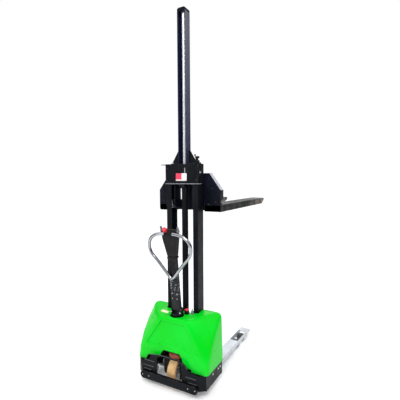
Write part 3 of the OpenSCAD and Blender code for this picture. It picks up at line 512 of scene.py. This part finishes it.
def settle(name, bm, body, slot, stands_for=(), sharp=32, finish=None, weighted=True):
    """Turns a bmesh into a finished piece that rides on its body."""
    made = new_object(name, bm)
    for face in made.data.polygons:
        face.use_smooth = True
    made.data.set_sharp_from_angle(angle=radians(sharp))
    made.data.materials.append(FINISHES[finish or slot])
    if weighted:
        normals = made.modifiers.new("even_normals", "WEIGHTED_NORMAL")
        normals.keep_sharp = True
    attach(made, body)
    if stands_for:
        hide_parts(*stands_for)
    return made


def placed(bm, matrix):
    """The bmesh, moved by the matrix."""
    bmesh.ops.transform(bm, matrix=matrix, verts=bm.verts)
    return bm


def add(bm, part, matrix=None):
    """Moves one bmesh into another."""
    if matrix is not None:
        placed(part, matrix)
    carrier = bpy.data.meshes.new("carrier")
    part.to_mesh(carrier)
    part.free()
    bm.from_mesh(carrier)
    bpy.data.meshes.remove(carrier)


def toward(at, axis, turn=0.0):
    """A matrix that carries +Z to axis and the origin to at."""
    facing = Vector(axis).to_track_quat("Z", "Y").to_matrix().to_4x4()
    return Matrix.Translation(at) @ facing @ Matrix.Rotation(radians(turn), 4, "Z")


def sharp_edges(bm, angle=30, shortest=0.0):
    limit = radians(angle)
    return [e for e in bm.edges if len(e.link_faces) == 2 and e.calc_face_angle(0) > limit
            and e.calc_length() > shortest]


def soften(bm, width, segments=2, angle=30, shortest=0.0, clamp=True):
    bmesh.ops.bevel(bm, geom=sharp_edges(bm, angle, shortest), offset=width, offset_type="OFFSET",
                    segments=segments, profile=0.5, affect="EDGES", clamp_overlap=clamp, material=-1)


def block(lowest, highest):
    bm = bmesh.new()
    size = Vector(highest) - Vector(lowest)
    centre = (Vector(highest) + Vector(lowest)) / 2
    bmesh.ops.create_cube(bm, size=1.0, matrix=Matrix.Translation(centre) @ Matrix.Diagonal((*size, 1)))
    return bm


def rounded_block(lowest, highest, width=0.001, segments=2):
    bm = block(lowest, highest)
    soften(bm, width, segments)
    return bm


def prism(outline, depth, width=0.0, segments=2):
    """An outline in X and Y, raised along +Z; its edges are softened where a width is given."""
    bm = bmesh.new()
    base = bm.faces.new([bm.verts.new((x, y, 0)) for x, y in outline])
    raised = bmesh.ops.extrude_face_region(bm, geom=[base])
    bmesh.ops.translate(bm, vec=(0, 0, depth),
                        verts=[v for v in raised["geom"] if isinstance(v, bmesh.types.BMVert)])
    outward(bm)
    if width:
        soften(bm, width, segments)
    return bm


def turned(profile, steps=64, ring=False):
    """A profile of (radius, height) pairs spun round Z; a ring's profile closes on itself."""
    bm = bmesh.new()
    points = [bm.verts.new((r, 0, h)) for r, h in profile]
    pairs = list(zip(points, points[1:])) + ([(points[-1], points[0])] if ring else [])
    edges = [bm.edges.new(pair) for pair in pairs]
    bmesh.ops.spin(bm, geom=points + edges, cent=(0, 0, 0), axis=(0, 0, 1), dvec=(0, 0, 0),
                   angle=tau, steps=steps, use_merge=True)
    bmesh.ops.remove_doubles(bm, verts=bm.verts, dist=1e-6)
    outward(bm)
    return bm


def tube(points, radius, around=6, closed=False, smooth=8):
    """A round bar along a smooth path."""
    curve = bpy.data.curves.new("path", "CURVE")
    curve.dimensions = "3D"
    curve.bevel_depth = radius
    curve.bevel_resolution = around
    curve.resolution_u = smooth
    curve.use_fill_caps = True
    spline = curve.splines.new("POLY" if smooth == 1 else "NURBS")
    spline.points.add(len(points) - 1)
    for place, point in zip(spline.points, points):
        place.co = (*point, 1)
    if smooth > 1:
        spline.order_u = 4
        spline.use_endpoint_u = True
    spline.use_cyclic_u = closed
    bm = evaluated(linked(bpy.data.objects.new("path", curve)))
    bpy.data.curves.remove(curve)
    bmesh.ops.remove_doubles(bm, verts=bm.verts, dist=1e-6)
    outward(bm)
    return bm


def from_cad(node):
    """A merged copy of a CAD node's mesh with its flats joined up."""
    bm = bmesh.new()
    bm.from_mesh(NODES[node].data)
    bmesh.ops.remove_doubles(bm, verts=bm.verts, dist=MERGE)
    bmesh.ops.dissolve_limit(bm, angle_limit=radians(0.6), use_dissolve_boundaries=False,
                             verts=bm.verts, edges=bm.edges)
    return bm


def softened_cad(node, name, width, segments=2, angle=35, finish=None):
    """A CAD node with its long edges rounded over."""
    bm = from_cad(node)
    soften(bm, width, segments, angle, shortest=width * 4, clamp=False)
    return settle(name, bm, BODY_OF[node], SLOT_OF[node], (node,), finish=finish)


def bolt(size, washer=True):
    """A hexagon head on its washer, seated at the origin and pointing along +Z."""
    bm = bmesh.new()
    thick = size * 0.16 if washer else 0.0
    if washer:
        bmesh.ops.create_cone(bm, cap_ends=True, segments=24, radius1=size * 1.08, radius2=size * 1.04,
                              depth=thick, matrix=Matrix.Translation((0, 0, thick / 2)))
    head = bmesh.new()
    tall = size * 0.62
    bmesh.ops.create_cone(head, cap_ends=True, segments=6, radius1=size * 0.9, radius2=size * 0.9,
                          depth=tall, matrix=Matrix.Translation((0, 0, thick + tall / 2)))
    soften(head, size * 0.09, 1)
    add(bm, head)
    return bm


def dome_bolt(size):
    """A button head with its hexagon socket."""
    profile = ((0, 0.34), (0.36, 0.34), (0.40, 0.56), (0.66, 0.46), (0.86, 0.24), (0.92, 0), (0, 0))
    return turned([(size * r, size * h) for r, h in profile], 24)


def bolts(name, body, places, size, dome=False, slot="bright_steel"):
    """Places are (point, axis) pairs; each head is turned a little differently."""
    bm = bmesh.new()
    for i, (at, axis) in enumerate(places):
        add(bm, dome_bolt(size) if dome else bolt(size), toward(at, axis, 17 * i))
    return settle(name, bm, body, slot, sharp=40)


def beads(name, body, runs, radius=0.0028):
    """Weld beads along straight runs, with the uneven crest of a hand weld."""
    bm = bmesh.new()
    for start, end in runs:
        start, end = Vector(start), Vector(end)
        count = max(3, int((end - start).length / 0.006))
        path = [start.lerp(end, i / count) + 0.0005 * noise.noise_vector(start.lerp(end, i / count) * 90)
                for i in range(count + 1)]
        add(bm, tube(path, radius, 3, smooth=1))
    return settle(name, bm, body, "black_paint", finish="weld", sharp=60)


# ---------- hood ----------

def closed_form(bm):
    """The convex form round all the bmesh's points."""
    bmesh.ops.delete(bm, geom=bm.edges[:] + bm.faces[:], context="EDGES_FACES")
    hull = bmesh.ops.convex_hull(bm, input=bm.verts)
    spare = {v for key in ("geom_interior", "geom_unused") for v in hull[key] if isinstance(v, bmesh.types.BMVert)}
    bmesh.ops.delete(bm, geom=list(spare), context="VERTS")
    outward(bm)


def ball(bm, at, radius):
    bmesh.ops.create_uvsphere(bm, u_segments=32, v_segments=20, radius=radius, matrix=Matrix.Translation(at))


def step(value, start, end):
    t = min(1.0, max(0.0, (value - start) / (end - start)))
    return t * t * (3 - 2 * t)


def inside_by(point, outline):
    """How far a point lies inside an outline of X and Z; negative outside."""
    x, z = point
    nearest, crossings = 1e9, 0
    for (x0, z0), (x1, z1) in zip(outline, outline[1:] + outline[:1]):
        dx, dz = x1 - x0, z1 - z0
        t = min(1.0, max(0.0, ((x - x0) * dx + (z - z0) * dz) / (dx * dx + dz * dz)))
        nearest = min(nearest, hypot(x - x0 - t * dx, z - z0 - t * dz))
        if (z0 > z) != (z1 > z) and x < x0 + (z - z0) / dz * dx:
            crossings += 1
    return nearest if crossings % 2 else -nearest


def remeshed(bm, voxel, smoothing):
    """The form as an even skin of small faces, with its ridges worn round."""
    holder = new_object("form", bm)
    skin = holder.modifiers.new("skin", "REMESH")
    skin.mode = "VOXEL"
    skin.voxel_size = voxel
    out = evaluated(holder)
    for _ in range(smoothing):
        bmesh.ops.smooth_vert(out, verts=out.verts, factor=0.5, use_axis_x=True, use_axis_y=True, use_axis_z=True)
    return out


def cut(bm, cutters):
    """The bmesh with each cutter's space taken away."""
    body = new_object("cut_body", bm)
    tools = []
    for i, part in enumerate(cutters):
        outward(part)
        tools.append(new_object(f"cutter_{i}", part))
        taken = body.modifiers.new(f"cut_{i}", "BOOLEAN")
        taken.operation = "DIFFERENCE"
        taken.solver = "EXACT"
        taken.object = tools[-1]
    out = evaluated(body)
    for made in tools:
        bpy.data.objects.remove(made)
    return out


HOOD_LOW, HOOD_HIGH = low("hood"), high("hood")
HALF = HOOD_HIGH.x
FRONT, BACK = HOOD_LOW.y, HOOD_HIGH.y
BASE_Z, TOP_Z = HOOD_LOW.z, HOOD_HIGH.z
STEM = Vector((0, middle("drive_wheel_hub").y, 0))
WALL, PANEL_DEPTH, BROW_DEPTH = 0.004, 0.011, 0.007
PANEL = [(-0.118, 0.556), (0.118, 0.556), (0.268, 0.338), (0.136, 0.338), (0.106, 0.368),
         (-0.106, 0.368), (-0.136, 0.338), (-0.268, 0.338)]
NOTCH = [(-0.262, 0.10), (-0.262, 0.196), (-0.238, 0.240), (-0.112, 0.262), (-0.104, 0.282), (-0.080, 0.312),
         (0.080, 0.312), (0.104, 0.282), (0.114, 0.256), (0.168, 0.214), (0.200, 0.212), (0.200, 0.10)]


# radii of the hood's rounded corners, the brow's drop, and the height where the sides begin to lean
CORNER, BACK_CORNER, SHOULDER, TAIL = 0.022, 0.016, 0.046, 0.024
BROW_DROP, SILL = 0.044, 0.172


def hood_form(inset):
    """The closed form of the hood, carried on below its lower edge so that the edge can be cut clean."""
    bm = bmesh.new()
    half, top = HALF - inset, TOP_Z - inset
    front, back = FRONT + inset, BACK - inset
    for side in (-1, 1):
        for radius, y in ((CORNER, front + CORNER), (BACK_CORNER, back - BACK_CORNER)):
            for z in (SILL, 0.080):
                ball(bm, (side * (half - radius), y, z), radius)
        ball(bm, (side * 0.136, front + 0.054, top - BROW_DROP), TAIL)
        ball(bm, (side * (0.226 - inset), front + 0.146, top - 0.066), SHOULDER)
        for t in (0.25, 0.5, 0.75):
            bulge = 4 * t * (1 - t)
            radius = CORNER + 0.020 * t
            swell = 0.012 * bulge
            ball(bm, (side * (half - radius), front + CORNER + 0.249 * t - 0.055 * bulge,
                      SILL + (top - SHOULDER - SILL) * t + swell), radius)
            ball(bm, (side * (0.328 - inset - 0.192 * t + 0.008 * bulge), front + CORNER + 0.032 * t,
                      SILL + (top - BROW_DROP - SILL) * t + swell), 0.023)
        ball(bm, (side * (half - SHOULDER), FRONT + 0.271, top - SHOULDER), SHOULDER)
        ball(bm, (side * (half - SHOULDER), back - TAIL, top - SHOULDER), TAIL)
    closed_form(bm)
    return bm


def press_panel(bm, crisp=False):
    """Sinks the front panel and hollows the top behind the brow; a crisp panel gets finer faces along its edge."""
    reach, turned_front = FRONT + 0.12, 0.35
    bm.normal_update()
    if crisp:
        near = [face for face in bm.faces if face.normal.y < -turned_front
                and face.calc_center_median().y < reach
                and abs(inside_by(face.calc_center_median().xz, PANEL)) < 0.010]
        rim = list({edge for face in near for edge in face.edges})
        bmesh.ops.subdivide_edges(bm, edges=rim, cuts=2, use_grid_fill=True)
        bm.normal_update()
    for v in bm.verts:
        x, y, z = v.co
        facing = -v.normal.y
        if facing > turned_front and y < reach:
            depth = step(inside_by((x, z), PANEL), -0.0030, 0.0035)
            v.co.y += PANEL_DEPTH * depth * step(facing, turned_front, 0.7)
        if v.normal.z > 0.5:
            hollow = (1 - step(abs(x), 0.10, 0.20)) * step(y, FRONT + 0.045, FRONT + 0.10)
            v.co.z -= BROW_DEPTH * hollow


def drum(radius, at, tall=0.3, steps=64):
    bm = bmesh.new()
    bmesh.ops.create_cone(bm, cap_ends=True, segments=steps, radius1=radius, radius2=radius, depth=tall,
                          matrix=Matrix.Translation(at))
    return bm


def front_prism(outline, y_low, y_high):
    """An outline in X and Z, raised from y_low to y_high."""
    return placed(prism(outline, y_high - y_low),
                  Matrix.Translation((0, y_high, 0)) @ Matrix.Rotation(pi / 2, 4, "X"))


def make_hood():
    voxel = 0.0065
    skin = remeshed(hood_form(0.0), voxel, 14)
    press_panel(skin, crisp=True)
    slot_half = high("mast_upright_right").x + 0.006
    slot_front = low("mast_foot").y - 0.004
    stop, key = middle("emergency_stop_base"), middle("key_switch")
    far = 2.0
    inner = remeshed(hood_form(WALL), voxel * 1.4, 5)
    press_panel(inner)
    cutters = [inner, block((-far, -far, -far), (far, far, BASE_Z)),
               front_prism(NOTCH, FRONT - 0.05, FRONT + 0.08),
               block((-slot_half, slot_front, -far), (slot_half, far, far)),
               drum(high("tiller_base").x + 0.0105, (STEM.x, STEM.y, TOP_Z)),
               drum(0.0225, (stop.x, stop.y, TOP_Z)), drum(0.0123, (key.x, key.y, TOP_Z))]
    bm = cut(skin, cutters)
    bmesh.ops.remove_doubles(bm, verts=bm.verts, dist=MERGE)
    return settle("hood_shell", bm, "frame", "hood_plastic", ("hood",), sharp=38, weighted=False)


def laid_on(surface, name, corners, body, slot, finish, lift=0.0004, thick=0.0006):
    """A thin label laid on a surface from above; corners are (x, y) pairs."""
    tree = BVHTree.FromObject(surface, bpy.context.evaluated_depsgraph_get())
    bm = bmesh.new()
    bmesh.ops.create_grid(bm, x_segments=12, y_segments=6, size=0.5)
    a, b, c, d = (Vector((*corner, 0)) for corner in corners)
    for v in bm.verts:
        s, t = v.co.x + 0.5, v.co.y + 0.5
        flat = a.lerp(b, s).lerp(d.lerp(c, s), t)
        hit = tree.ray_cast(Vector((flat.x, flat.y, 1.0)), -Z)[0]
        v.co = Vector((flat.x, flat.y, (hit.z if hit else TOP_Z) + lift))
    outward(bm)
    bmesh.ops.solidify(bm, geom=bm.faces[:], thickness=thick)
    outward(bm)
    return settle(name, bm, body, slot, finish=finish, weighted=False)


def make_controls():
    """Emergency stop and key switch on the hood."""
    base = middle("emergency_stop_base")
    foot, head = low("emergency_stop_base").z, high("emergency_stop_base").z
    bm = turned([(0, head), (0.0195, head), (0.0215, head - 0.002), (0.0218, head - 0.016), (0.0140, head - 0.018),
                 (0.0138, foot + 0.001), (0.0128, foot), (0, foot)])
    add(bm, turned([(0.0145, head), (0.0160, head + 0.0012), (0.0175, head)], ring=True))
    placed(bm, Matrix.Translation((base.x, base.y, 0)))
    settle("stop_base", bm, "frame", "grip_plastic", ("emergency_stop_base",))

    foot, head = low("emergency_stop_button").z, high("emergency_stop_button").z
    bm = turned([(0, head), (0.008, head - 0.0004), (0.0145, head - 0.0022), (0.0188, head - 0.0062),
                 (0.0198, head - 0.0098), (0.0182, head - 0.0130), (0.0135, head - 0.0140),
                 (0.0100, head - 0.0142), (0.0098, foot), (0, foot)])
    for i in range(3):
        arrow = prism([(-0.0042, 0.0102), (0.0018, 0.0090), (0.0018, 0.0066), (0.0052, 0.0112),
                       (0.0018, 0.0158), (0.0018, 0.0134), (-0.0046, 0.0128)], 0.0007, 0.0002, 1)
        add(bm, arrow, Matrix.Translation((0, 0, head - 0.0022)) @ Matrix.Rotation(radians(120 * i), 4, "Z"))
    placed(bm, Matrix.Translation((base.x, base.y, 0)))
    settle("stop_button", bm, "frame", "red_plastic", ("emergency_stop_button",), sharp=45)

    key = middle("key_switch")
    foot, head = low("key_switch").z, high("key_switch").z
    collar = foot + 0.034
    bm = turned([(0, collar), (0.0085, collar), (0.0092, collar - 0.001), (0.0110, collar - 0.001),
                 (0.0119, collar - 0.0022), (0.0119, foot), (0, foot)], 40)
    blade = rounded_block((-0.0013, -0.0072, collar - 0.003), (0.0013, 0.0072, head - 0.001), 0.0005)
    add(bm, blade)
    bow = turned([(0, head), (0.0058, head - 0.0004), (0.0078, head - 0.005), (0.0062, head - 0.013),
                  (0, head - 0.014)], 24)
    bmesh.ops.scale(bow, vec=(0.32, 1, 1), verts=bow.verts)
    add(bm, bow)
    placed(bm, Matrix.Translation((key.x, key.y, 0)))
    settle("key_barrel", bm, "frame", "grey_plastic", ("key_switch",), sharp=40)


# ---------- wheels ----------

def wheel_matrix(node):
    return toward(middle(node), X)


def tyre_profile(radius, width, bore, shoulder, crown=0.0012):
    """Half-section of a solid tyre or roller, from its bore round its shoulders."""
    half = width / 2
    left = [(bore, -half), (radius - shoulder, -half)]
    left += [(radius - shoulder + shoulder * sin(a), -half + shoulder - shoulder * cos(a))
             for a in (radians(d) for d in (22, 45, 67, 90))]
    left = [(r - (crown if r > radius - 1e-6 else 0), h) for r, h in left]
    return left + [(radius, 0)] + [(r, -h) for r, h in reversed(left)]


def make_drive_wheel():
    tread, hub = high("drive_wheel_tread"), high("drive_wheel_hub")
    radius = tread.z / 2
    width = tread.x * 2
    rim = (hub.z - low("drive_wheel_hub").z) / 2
    bm = turned(tyre_profile(radius, width, rim, 0.007), 96, ring=True)
    settle("drive_tyre", placed(bm, wheel_matrix("drive_wheel_tread")), "drive_wheel", "tread",
           ("drive_wheel_tread",), sharp=50)
    half = hub.x
    profile = [(0.0125, -half), (0.034, -half), (0.0355, -half + 0.0015), (0.0355, -half + 0.010),
               (0.0375, -half + 0.0125), (0.0700, -half + 0.0125), (0.0725, -half + 0.010), (0.0735, -half),
               (rim, -half)]
    profile += [(r, -h) for r, h in reversed(profile)]
    bm = turned(profile, 96, ring=True)
    for i in range(5):
        angle = radians(72 * i)
        for side in (-1, 1):
            at = Vector((0.054 * cos(angle), 0.054 * sin(angle), side * (half - 0.0125)))
            add(bm, bolt(0.008), toward(at, (0, 0, side), 11 * i))
    settle("drive_hub", placed(bm, wheel_matrix("drive_wheel_hub")), "drive_wheel", "bright_steel",
           ("drive_wheel_hub",), sharp=40)


def make_rollers():
    for node in [n for n in NODES if n.startswith(("load_roller_left", "load_roller_right", "castor_wheel"))]:
        size = (high(node) - low(node)) / 2
        castor = node.startswith("castor")
        bore = 0.0055 if castor else 0.0085
        rim = 0.024 if castor else 0.026
        outer = turned(tyre_profile(size.z, size.x * 2, rim, 0.004 if castor else 0.005), 64, ring=True)
        settle(f"{node}_tyre", placed(outer, wheel_matrix(node)), node, SLOT_OF[node], (node,), sharp=50)
        half = size.x
        core = [(bore, -half + 0.001), (bore + 0.006, -half + 0.001), (bore + 0.007, -half + 0.004),
                (rim - 0.004, -half + 0.004), (rim - 0.003, -half + 0.0015), (rim, -half + 0.0015)]
        core += [(r, -h) for r, h in reversed(core)]
        settle(f"{node}_core", placed(turned(core, 48, ring=True), wheel_matrix(node)), node,
               "bright_steel", sharp=40)


# ---------- tiller ----------

TILLER_LEAN = radians(7)
PIVOT = Vector((0, STEM.y, 0.655))
ON_TILLER = Matrix.Translation(PIVOT) @ Matrix.Rotation(TILLER_LEAN, 4, "X")


def bezier(a, b, c, d, t):
    return tuple((1 - t) ** 3 * p + 3 * (1 - t) ** 2 * t * q + 3 * (1 - t) * t * t * r + t ** 3 * s
                 for p, q, r, s in zip(a, b, c, d))


def loop_path():
    """The handle loop's centre line in the tiller's own X and Z, left half first."""
    half, top, wide, foot, inner = 0.206, 0.687, 0.573, 0.297, 0.040
    spans = [((-inner, top), (-inner - 0.100, top), (-half, wide + 0.070), (-half, wide)),
             ((-half, wide), (-half, wide - 0.050), (-half + 0.020, wide - 0.076), (-half + 0.048, wide - 0.102)),
             ((-half + 0.048, wide - 0.102), (-0.060, foot + 0.068), (-0.026, foot), (0.0, foot))]
    left = [bezier(*span, i / 10) for span in spans for i in range(10 if span is not spans[-1] else 11)]
    return left + [(-x, z) for x, z in reversed(left[:-1])]


def make_tiller():
    bm = tube([(x, -0.041, z) for x, z in loop_path()], 0.0139, 8, smooth=2)
    # The loop wears the darker chrome copy: painted shade on its reflections.
    settle("handle_loop", placed(bm, ON_TILLER), "tiller", "chrome", ("tiller_loop",), finish="shaded_loop_chrome",
           weighted=False)
    bm = remeshed(from_cad("tiller_head"), 0.003, 5)
    settle("head_shell", bm, "tiller", "grip_plastic", ("tiller_head",), weighted=False)
    softened_cad("tiller_arm", "tiller_arm_tube", 0.004, 3)
    softened_cad("tiller_base", "tiller_fork", 0.0015)
    softened_cad("throttle_levers", "throttle_wings", 0.0015, 3)
    softened_cad("belly_button", "belly_switch", 0.0035, 3, angle=60)
    arm_face = -0.023
    screws = [(ON_TILLER @ Vector((side * 0.024, arm_face, z)), (0, -1, 0)) for side in (-1, 1)
              for z in (0.105, 0.150, 0.235)]
    bolts("arm_screws", "tiller", screws, 0.0052, dome=True)
    collar = rounded_block((-0.041, -0.030, 0.462), (0.041, 0.030, 0.482), 0.003)
    settle("head_collar", placed(collar, ON_TILLER), "tiller", "grip_plastic")
    cover = rounded_block((-0.030, arm_face - 0.0025, 0.270), (0.030, arm_face + 0.001, 0.440), 0.002)
    settle("arm_cover", placed(cover, ON_TILLER), "tiller", "grip_plastic")
    pivots = [((side * (high("tiller_base").x - 0.002), PIVOT.y, PIVOT.z), (side, 0, 0)) for side in (-1, 1)]
    ears = [((side * 0.045, STEM.y - 0.0235, 0.632), (0, -1, 0)) for side in (-1, 1)]
    bolts("pivot_bolts", "drive_unit", ears, 0.0065)
    clips = bmesh.new()
    for at, axis in pivots:
        add(clips, turned([(0.0072, 0), (0.0098, 0), (0.0098, 0.0016), (0.0072, 0.0016)], 32, ring=True),
            toward(Vector(at) - Vector(axis) * 0.0005, axis))
    settle("pivot_clips", clips, "drive_unit", "bright_steel")


# ---------- mast, column and carriage ----------

def make_mast():
    for side in ("left", "right"):
        softened_cad(f"mast_upright_{side}", f"upright_channel_{side}", 0.0022, 3)
    softened_cad("mast_foot", "mast_cross_wall", 0.0015)
    softened_cad("mast_crosshead", "crosshead_plates", 0.0012)
    softened_cad("column_guides", "guide_gussets", 0.0012)
    softened_cad("lift_column", "column_channel", 0.0018, 3, finish="column_navy")
    softened_cad("column_cap", "column_end_cap", 0.0035, 3)
    softened_cad("lift_cylinder", "cylinder_barrel", 0.0015)
    foot_z = low("mast_crosshead").z
    plate, plate_top = low("rating_plate"), high("rating_plate")
    label = rounded_block((plate.x, plate_top.y - 0.0011, plate.z), plate_top, 0.0005, 1)
    settle("maker_plate", label, "frame", "plate_face", ("rating_plate",))
    rivets = [((x, plate_top.y - 0.0010, z), (0, -1, 0)) for x in (plate.x + 0.004, plate_top.x - 0.004)
              for z in (plate.z + 0.004, plate_top.z - 0.004)]
    bolts("plate_rivets", "frame", rivets, 0.0021, dome=True)
    face = plate_top.y
    # The lip is light grey: a painted highlight along the lit edge of the black crosshead plate.
    lip = rounded_block((-0.167, face - 0.0032, foot_z + 0.0265), (0.167, face + 0.001, foot_z + 0.0305), 0.0012)
    add(lip, rounded_block((0.1650, face - 0.0030, foot_z + 0.0265), (0.1690, face + 0.0600, foot_z + 0.0300)))
    settle("crosshead_lip", lip, "frame", "bright_steel", finish="primer_and_highlight")
    strip = rounded_block((0.0335, face - 0.0016, foot_z + 0.123), (0.0405, face, foot_z + 0.167), 0.0007)
    settle("slot_strip", strip, "frame", "bright_steel")
    corner = [((sx * 0.148, face, z), (0, -1, 0)) for sx in (-1, 1) for z in (foot_z + 0.060, foot_z + 0.162)]
    bolts("crosshead_bolts", "frame", corner, 0.0085, slot="black_paint")
    foot = high("column_guides").x - 0.016
    guide_top = low("column_guides").z + 0.007
    feet = [((sx * foot, middle("column_guides").y + sy * 0.016, guide_top), (0, 0, 1))
            for sx in (-1, 1) for sy in (-1, 1) if (sx, sy) != (1, -1)]
    bolts("guide_bolts", "frame", feet, 0.0075)
    bracket = rounded_block((0.1660, face + 0.012, foot_z + 0.100), (0.1720, face + 0.052, foot_z + 0.155))
    add(bracket, rounded_block((0.124, face + 0.056, foot_z + 0.2015), (0.158, face + 0.078, foot_z + 0.214), 0.003))
    settle("stop_bracket", bracket, "frame", "black_paint")
    bolts("bracket_bolt", "frame", [((0.1718, face + 0.030, foot_z + 0.127), (1, 0, 0))], 0.011)
    gusset_y, gusset_z = middle("column_guides").y, guide_top + 0.0008
    beads("gusset_beads", "frame",
          [((sx * 0.052, gusset_y + dy, gusset_z), (sx * 0.118, gusset_y + dy, gusset_z))
           for sx in (-1, 1) for dy in (-0.0045, 0.0045)], 0.0022)
    front, back = low("mast_upright_right").y + 0.004, high("mast_upright_right").y - 0.002
    beads("crosshead_beads", "frame",
          [((sx * 0.1655, front, foot_z + 0.0285), (sx * 0.1655, back, foot_z + 0.0285)) for sx in (-1, 1)], 0.0022)
    switch = low("limit_switch")
    bm = rounded_block((switch.x + 0.014, switch.y, switch.z), (switch.x + 0.046, switch.y + 0.026, switch.z + 0.030),
                       0.0025, 3)
    add(bm, rounded_block((switch.x + 0.016, switch.y + 0.002, switch.z + 0.027),
                          (switch.x + 0.034, switch.y + 0.024, switch.z + 0.050), 0.0025))
    add(bm, rounded_block((switch.x + 0.012, switch.y + 0.003, switch.z + 0.046),
                          (switch.x + 0.046, switch.y + 0.022, switch.z + 0.064), 0.0025))
    lever_at = Vector((switch.x + 0.018, switch.y + 0.010, switch.z + 0.060))
    lever = [lever_at + Vector((dx, 0, dz)) for dx, dz in ((0, 0), (-0.006, 0.006), (-0.009, 0.013))]
    add(bm, tube(lever, 0.0022, 4, smooth=1))
    roller = turned([(0.0022, -0.004), (0.0068, -0.004), (0.0075, -0.003), (0.0075, 0.003), (0.0068, 0.004),
                     (0.0022, 0.004)], 32, ring=True)
    add(bm, roller, toward(lever_at + Vector((-0.009, 0, 0.014)), Y))
    settle("reach_switch", bm, "frame", "grip_plastic", ("limit_switch",), sharp=40)


def make_carriage():
    softened_cad("carriage_frame", "carriage_plate", 0.0014)
    for side in ("left", "right"):
        softened_cad(f"fork_{side}", f"fork_arm_{side}", 0.0030, 3)
    size = 0.038
    half = [(0.0101, -0.015), (0.020, -0.015), (0.0215, -0.0135), (0.031, -0.0135), (0.0325, -0.015),
            (size - 0.0015, -0.015), (size, -0.0135)]
    profile = half + [(r, -h) for r, h in reversed(half)]
    rollers = bmesh.new()
    for sx in (-1, 1):
        for z in (low("carriage_rollers").z + size, high("carriage_rollers").z - size):
            centre = Vector((sx * 0.133, middle("carriage_rollers").y, z))
            add(rollers, turned(profile, 64, ring=True), toward(centre, X))
    settle("guide_rollers", rollers, "carriage", "bright_steel", ("carriage_rollers",), sharp=40)
    plate_high = high("carriage_frame")
    front, top = BUMPER_FACE + 0.378, plate_high.z
    trims = bmesh.new()
    for sx in (-1, 1):
        start = Vector((sx * plate_high.x, 0, top - 0.152))
        end = Vector((sx * (plate_high.x - 0.112), 0, top))
        run = end - start
        normal = Vector((sx * abs(run.z), 0, abs(run.x))).normalized()
        strip = rounded_block((0, front + 0.004, -0.0002), (run.length * 0.97, front + 0.0585, 0.0012), 0.0004, 1)
        turn = Matrix((run.normalized(), (0, 1, 0), normal)).transposed().to_4x4()
        add(trims, strip, Matrix.Translation(start + run * 0.015) @ turn)
    outward(trims)
    settle("flange_bands", trims, "carriage", "bright_steel", finish="primer_and_highlight")
    places = ((0.235, 0.136), (0.200, 0.276), (0.272, 0.258), (0.272, 0.168))
    small = [((sx * x, front, top - down), (0, -1, 0)) for sx in (-1, 1) for x, down in places]
    bolts("plate_bolts", "carriage", small, 0.0085, slot="carriage_paint")
    bolts("chain_bolt", "carriage", [((-0.115, front, top - 0.213), (0, -1, 0))], 0.0100)
    heel_y, heel_top = low("fork_right").y, high("fork_right").z
    runs = [((sx * 0.171, heel_y + dy, heel_top - down), (sx * 0.306, heel_y + dy, heel_top - down))
            for sx in (-1, 1) for dy, down in ((0.0015, 0), (0.0545, 0.0345))]
    beads("heel_beads", "carriage", runs, 0.0030)


# ---------- chassis ----------

def make_chassis():
    softened_cad("chassis_frame", "chassis_plates", 0.0015)
    softened_cad("bumper_bar", "bumper_plate", 0.0028, 3, angle=60)
    for side in ("left", "right"):
        softened_cad(f"support_leg_{side}", f"leg_{side}", 0.0024, 3)
        softened_cad(f"castor_fork_{side}", f"castor_yoke_{side}", 0.0008)
    softened_cad("drive_yoke", "drive_head", 0.0030, 3, angle=50)
    bumper = low("bumper_bar")
    mid = middle("bumper_bar").z
    heads = [((sx * x, bumper.y + 0.0058, mid), (0, -1, 0)) for sx in (-1, 1) for x in (0.195, 0.262)]
    bolts("bumper_bolts", "frame", heads, 0.0105, dome=True)
    sides = [((sx * 0.335, BUMPER_FACE + y, z), (sx, 0, 0)) for sx in (-1, 1)
             for y, z in ((0.176, 0.152), (0.280, 0.148), (0.320, 0.148))]
    bolts("side_bolts", "frame", sides, 0.0095)
    ribs = bmesh.new()
    face = BUMPER_FACE + 0.025
    for x0, x1, z in ((-0.255, -0.150, 0.205), (-0.270, -0.160, 0.158), (-0.262, -0.185, 0.126),
                      (0.165, 0.262, 0.160), (0.185, 0.272, 0.118)):
        add(ribs, rounded_block((x0, face - 0.0035, z - 0.0035), (x1, face + 0.001, z + 0.0035), 0.0018))
    settle("front_ribs", ribs, "frame", "black_paint", finish="rubbed_black")
    rim = [(-0.215, 0.258), (-0.150, 0.270), (-0.095, 0.279), (0.095, 0.279), (0.140, 0.262), (0.178, 0.222)]
    bead = tube([(x, face + 0.003, z) for x, z in rim], 0.0032, 4, smooth=4)
    settle("arch_rim", bead, "frame", "black_paint", finish="rubbed_black", weighted=False)
    deck_z = 0.1875
    beads("deck_beads", "frame",
          [((sx * 0.3365, BUMPER_FACE + y0, deck_z), (sx * 0.3365, BUMPER_FACE + y1, deck_z)) for sx in (-1, 1)
           for y0, y1 in ((0.09, 0.15), (0.20, 0.26), (0.30, 0.355))], 0.0024)


def make_inner_blocks():
    """The drive motor, battery and power pack, glimpsed through the hood's openings."""
    softened_cad("drive_motor", "motor_case", 0.003, 3, angle=60)
    softened_cad("battery_pack", "battery_case", 0.004, 3)
    softened_cad("hydraulic_power_pack", "pump_and_tank", 0.004, 3)


def dress_kept_nodes():
    """Every CAD node that still shows takes its own finish."""
    for name, node in NODES.items():
        for slot in node.material_slots:
            slot.material = FINISHES[SLOT_OF[name]]


set_studio()
set_camera()
FINISHES = make_finishes()
dress_kept_nodes()
hood = make_hood()
laid_on(hood, "hood_label", [(-0.172, -0.681), (-0.098, -0.681), (-0.098, -0.646), (-0.172, -0.646)],
        "frame", "plate_face", "paper")
make_controls()
make_drive_wheel()
make_rollers()
make_tiller()
make_mast()
make_carriage()
make_chassis()
make_inner_blocks()
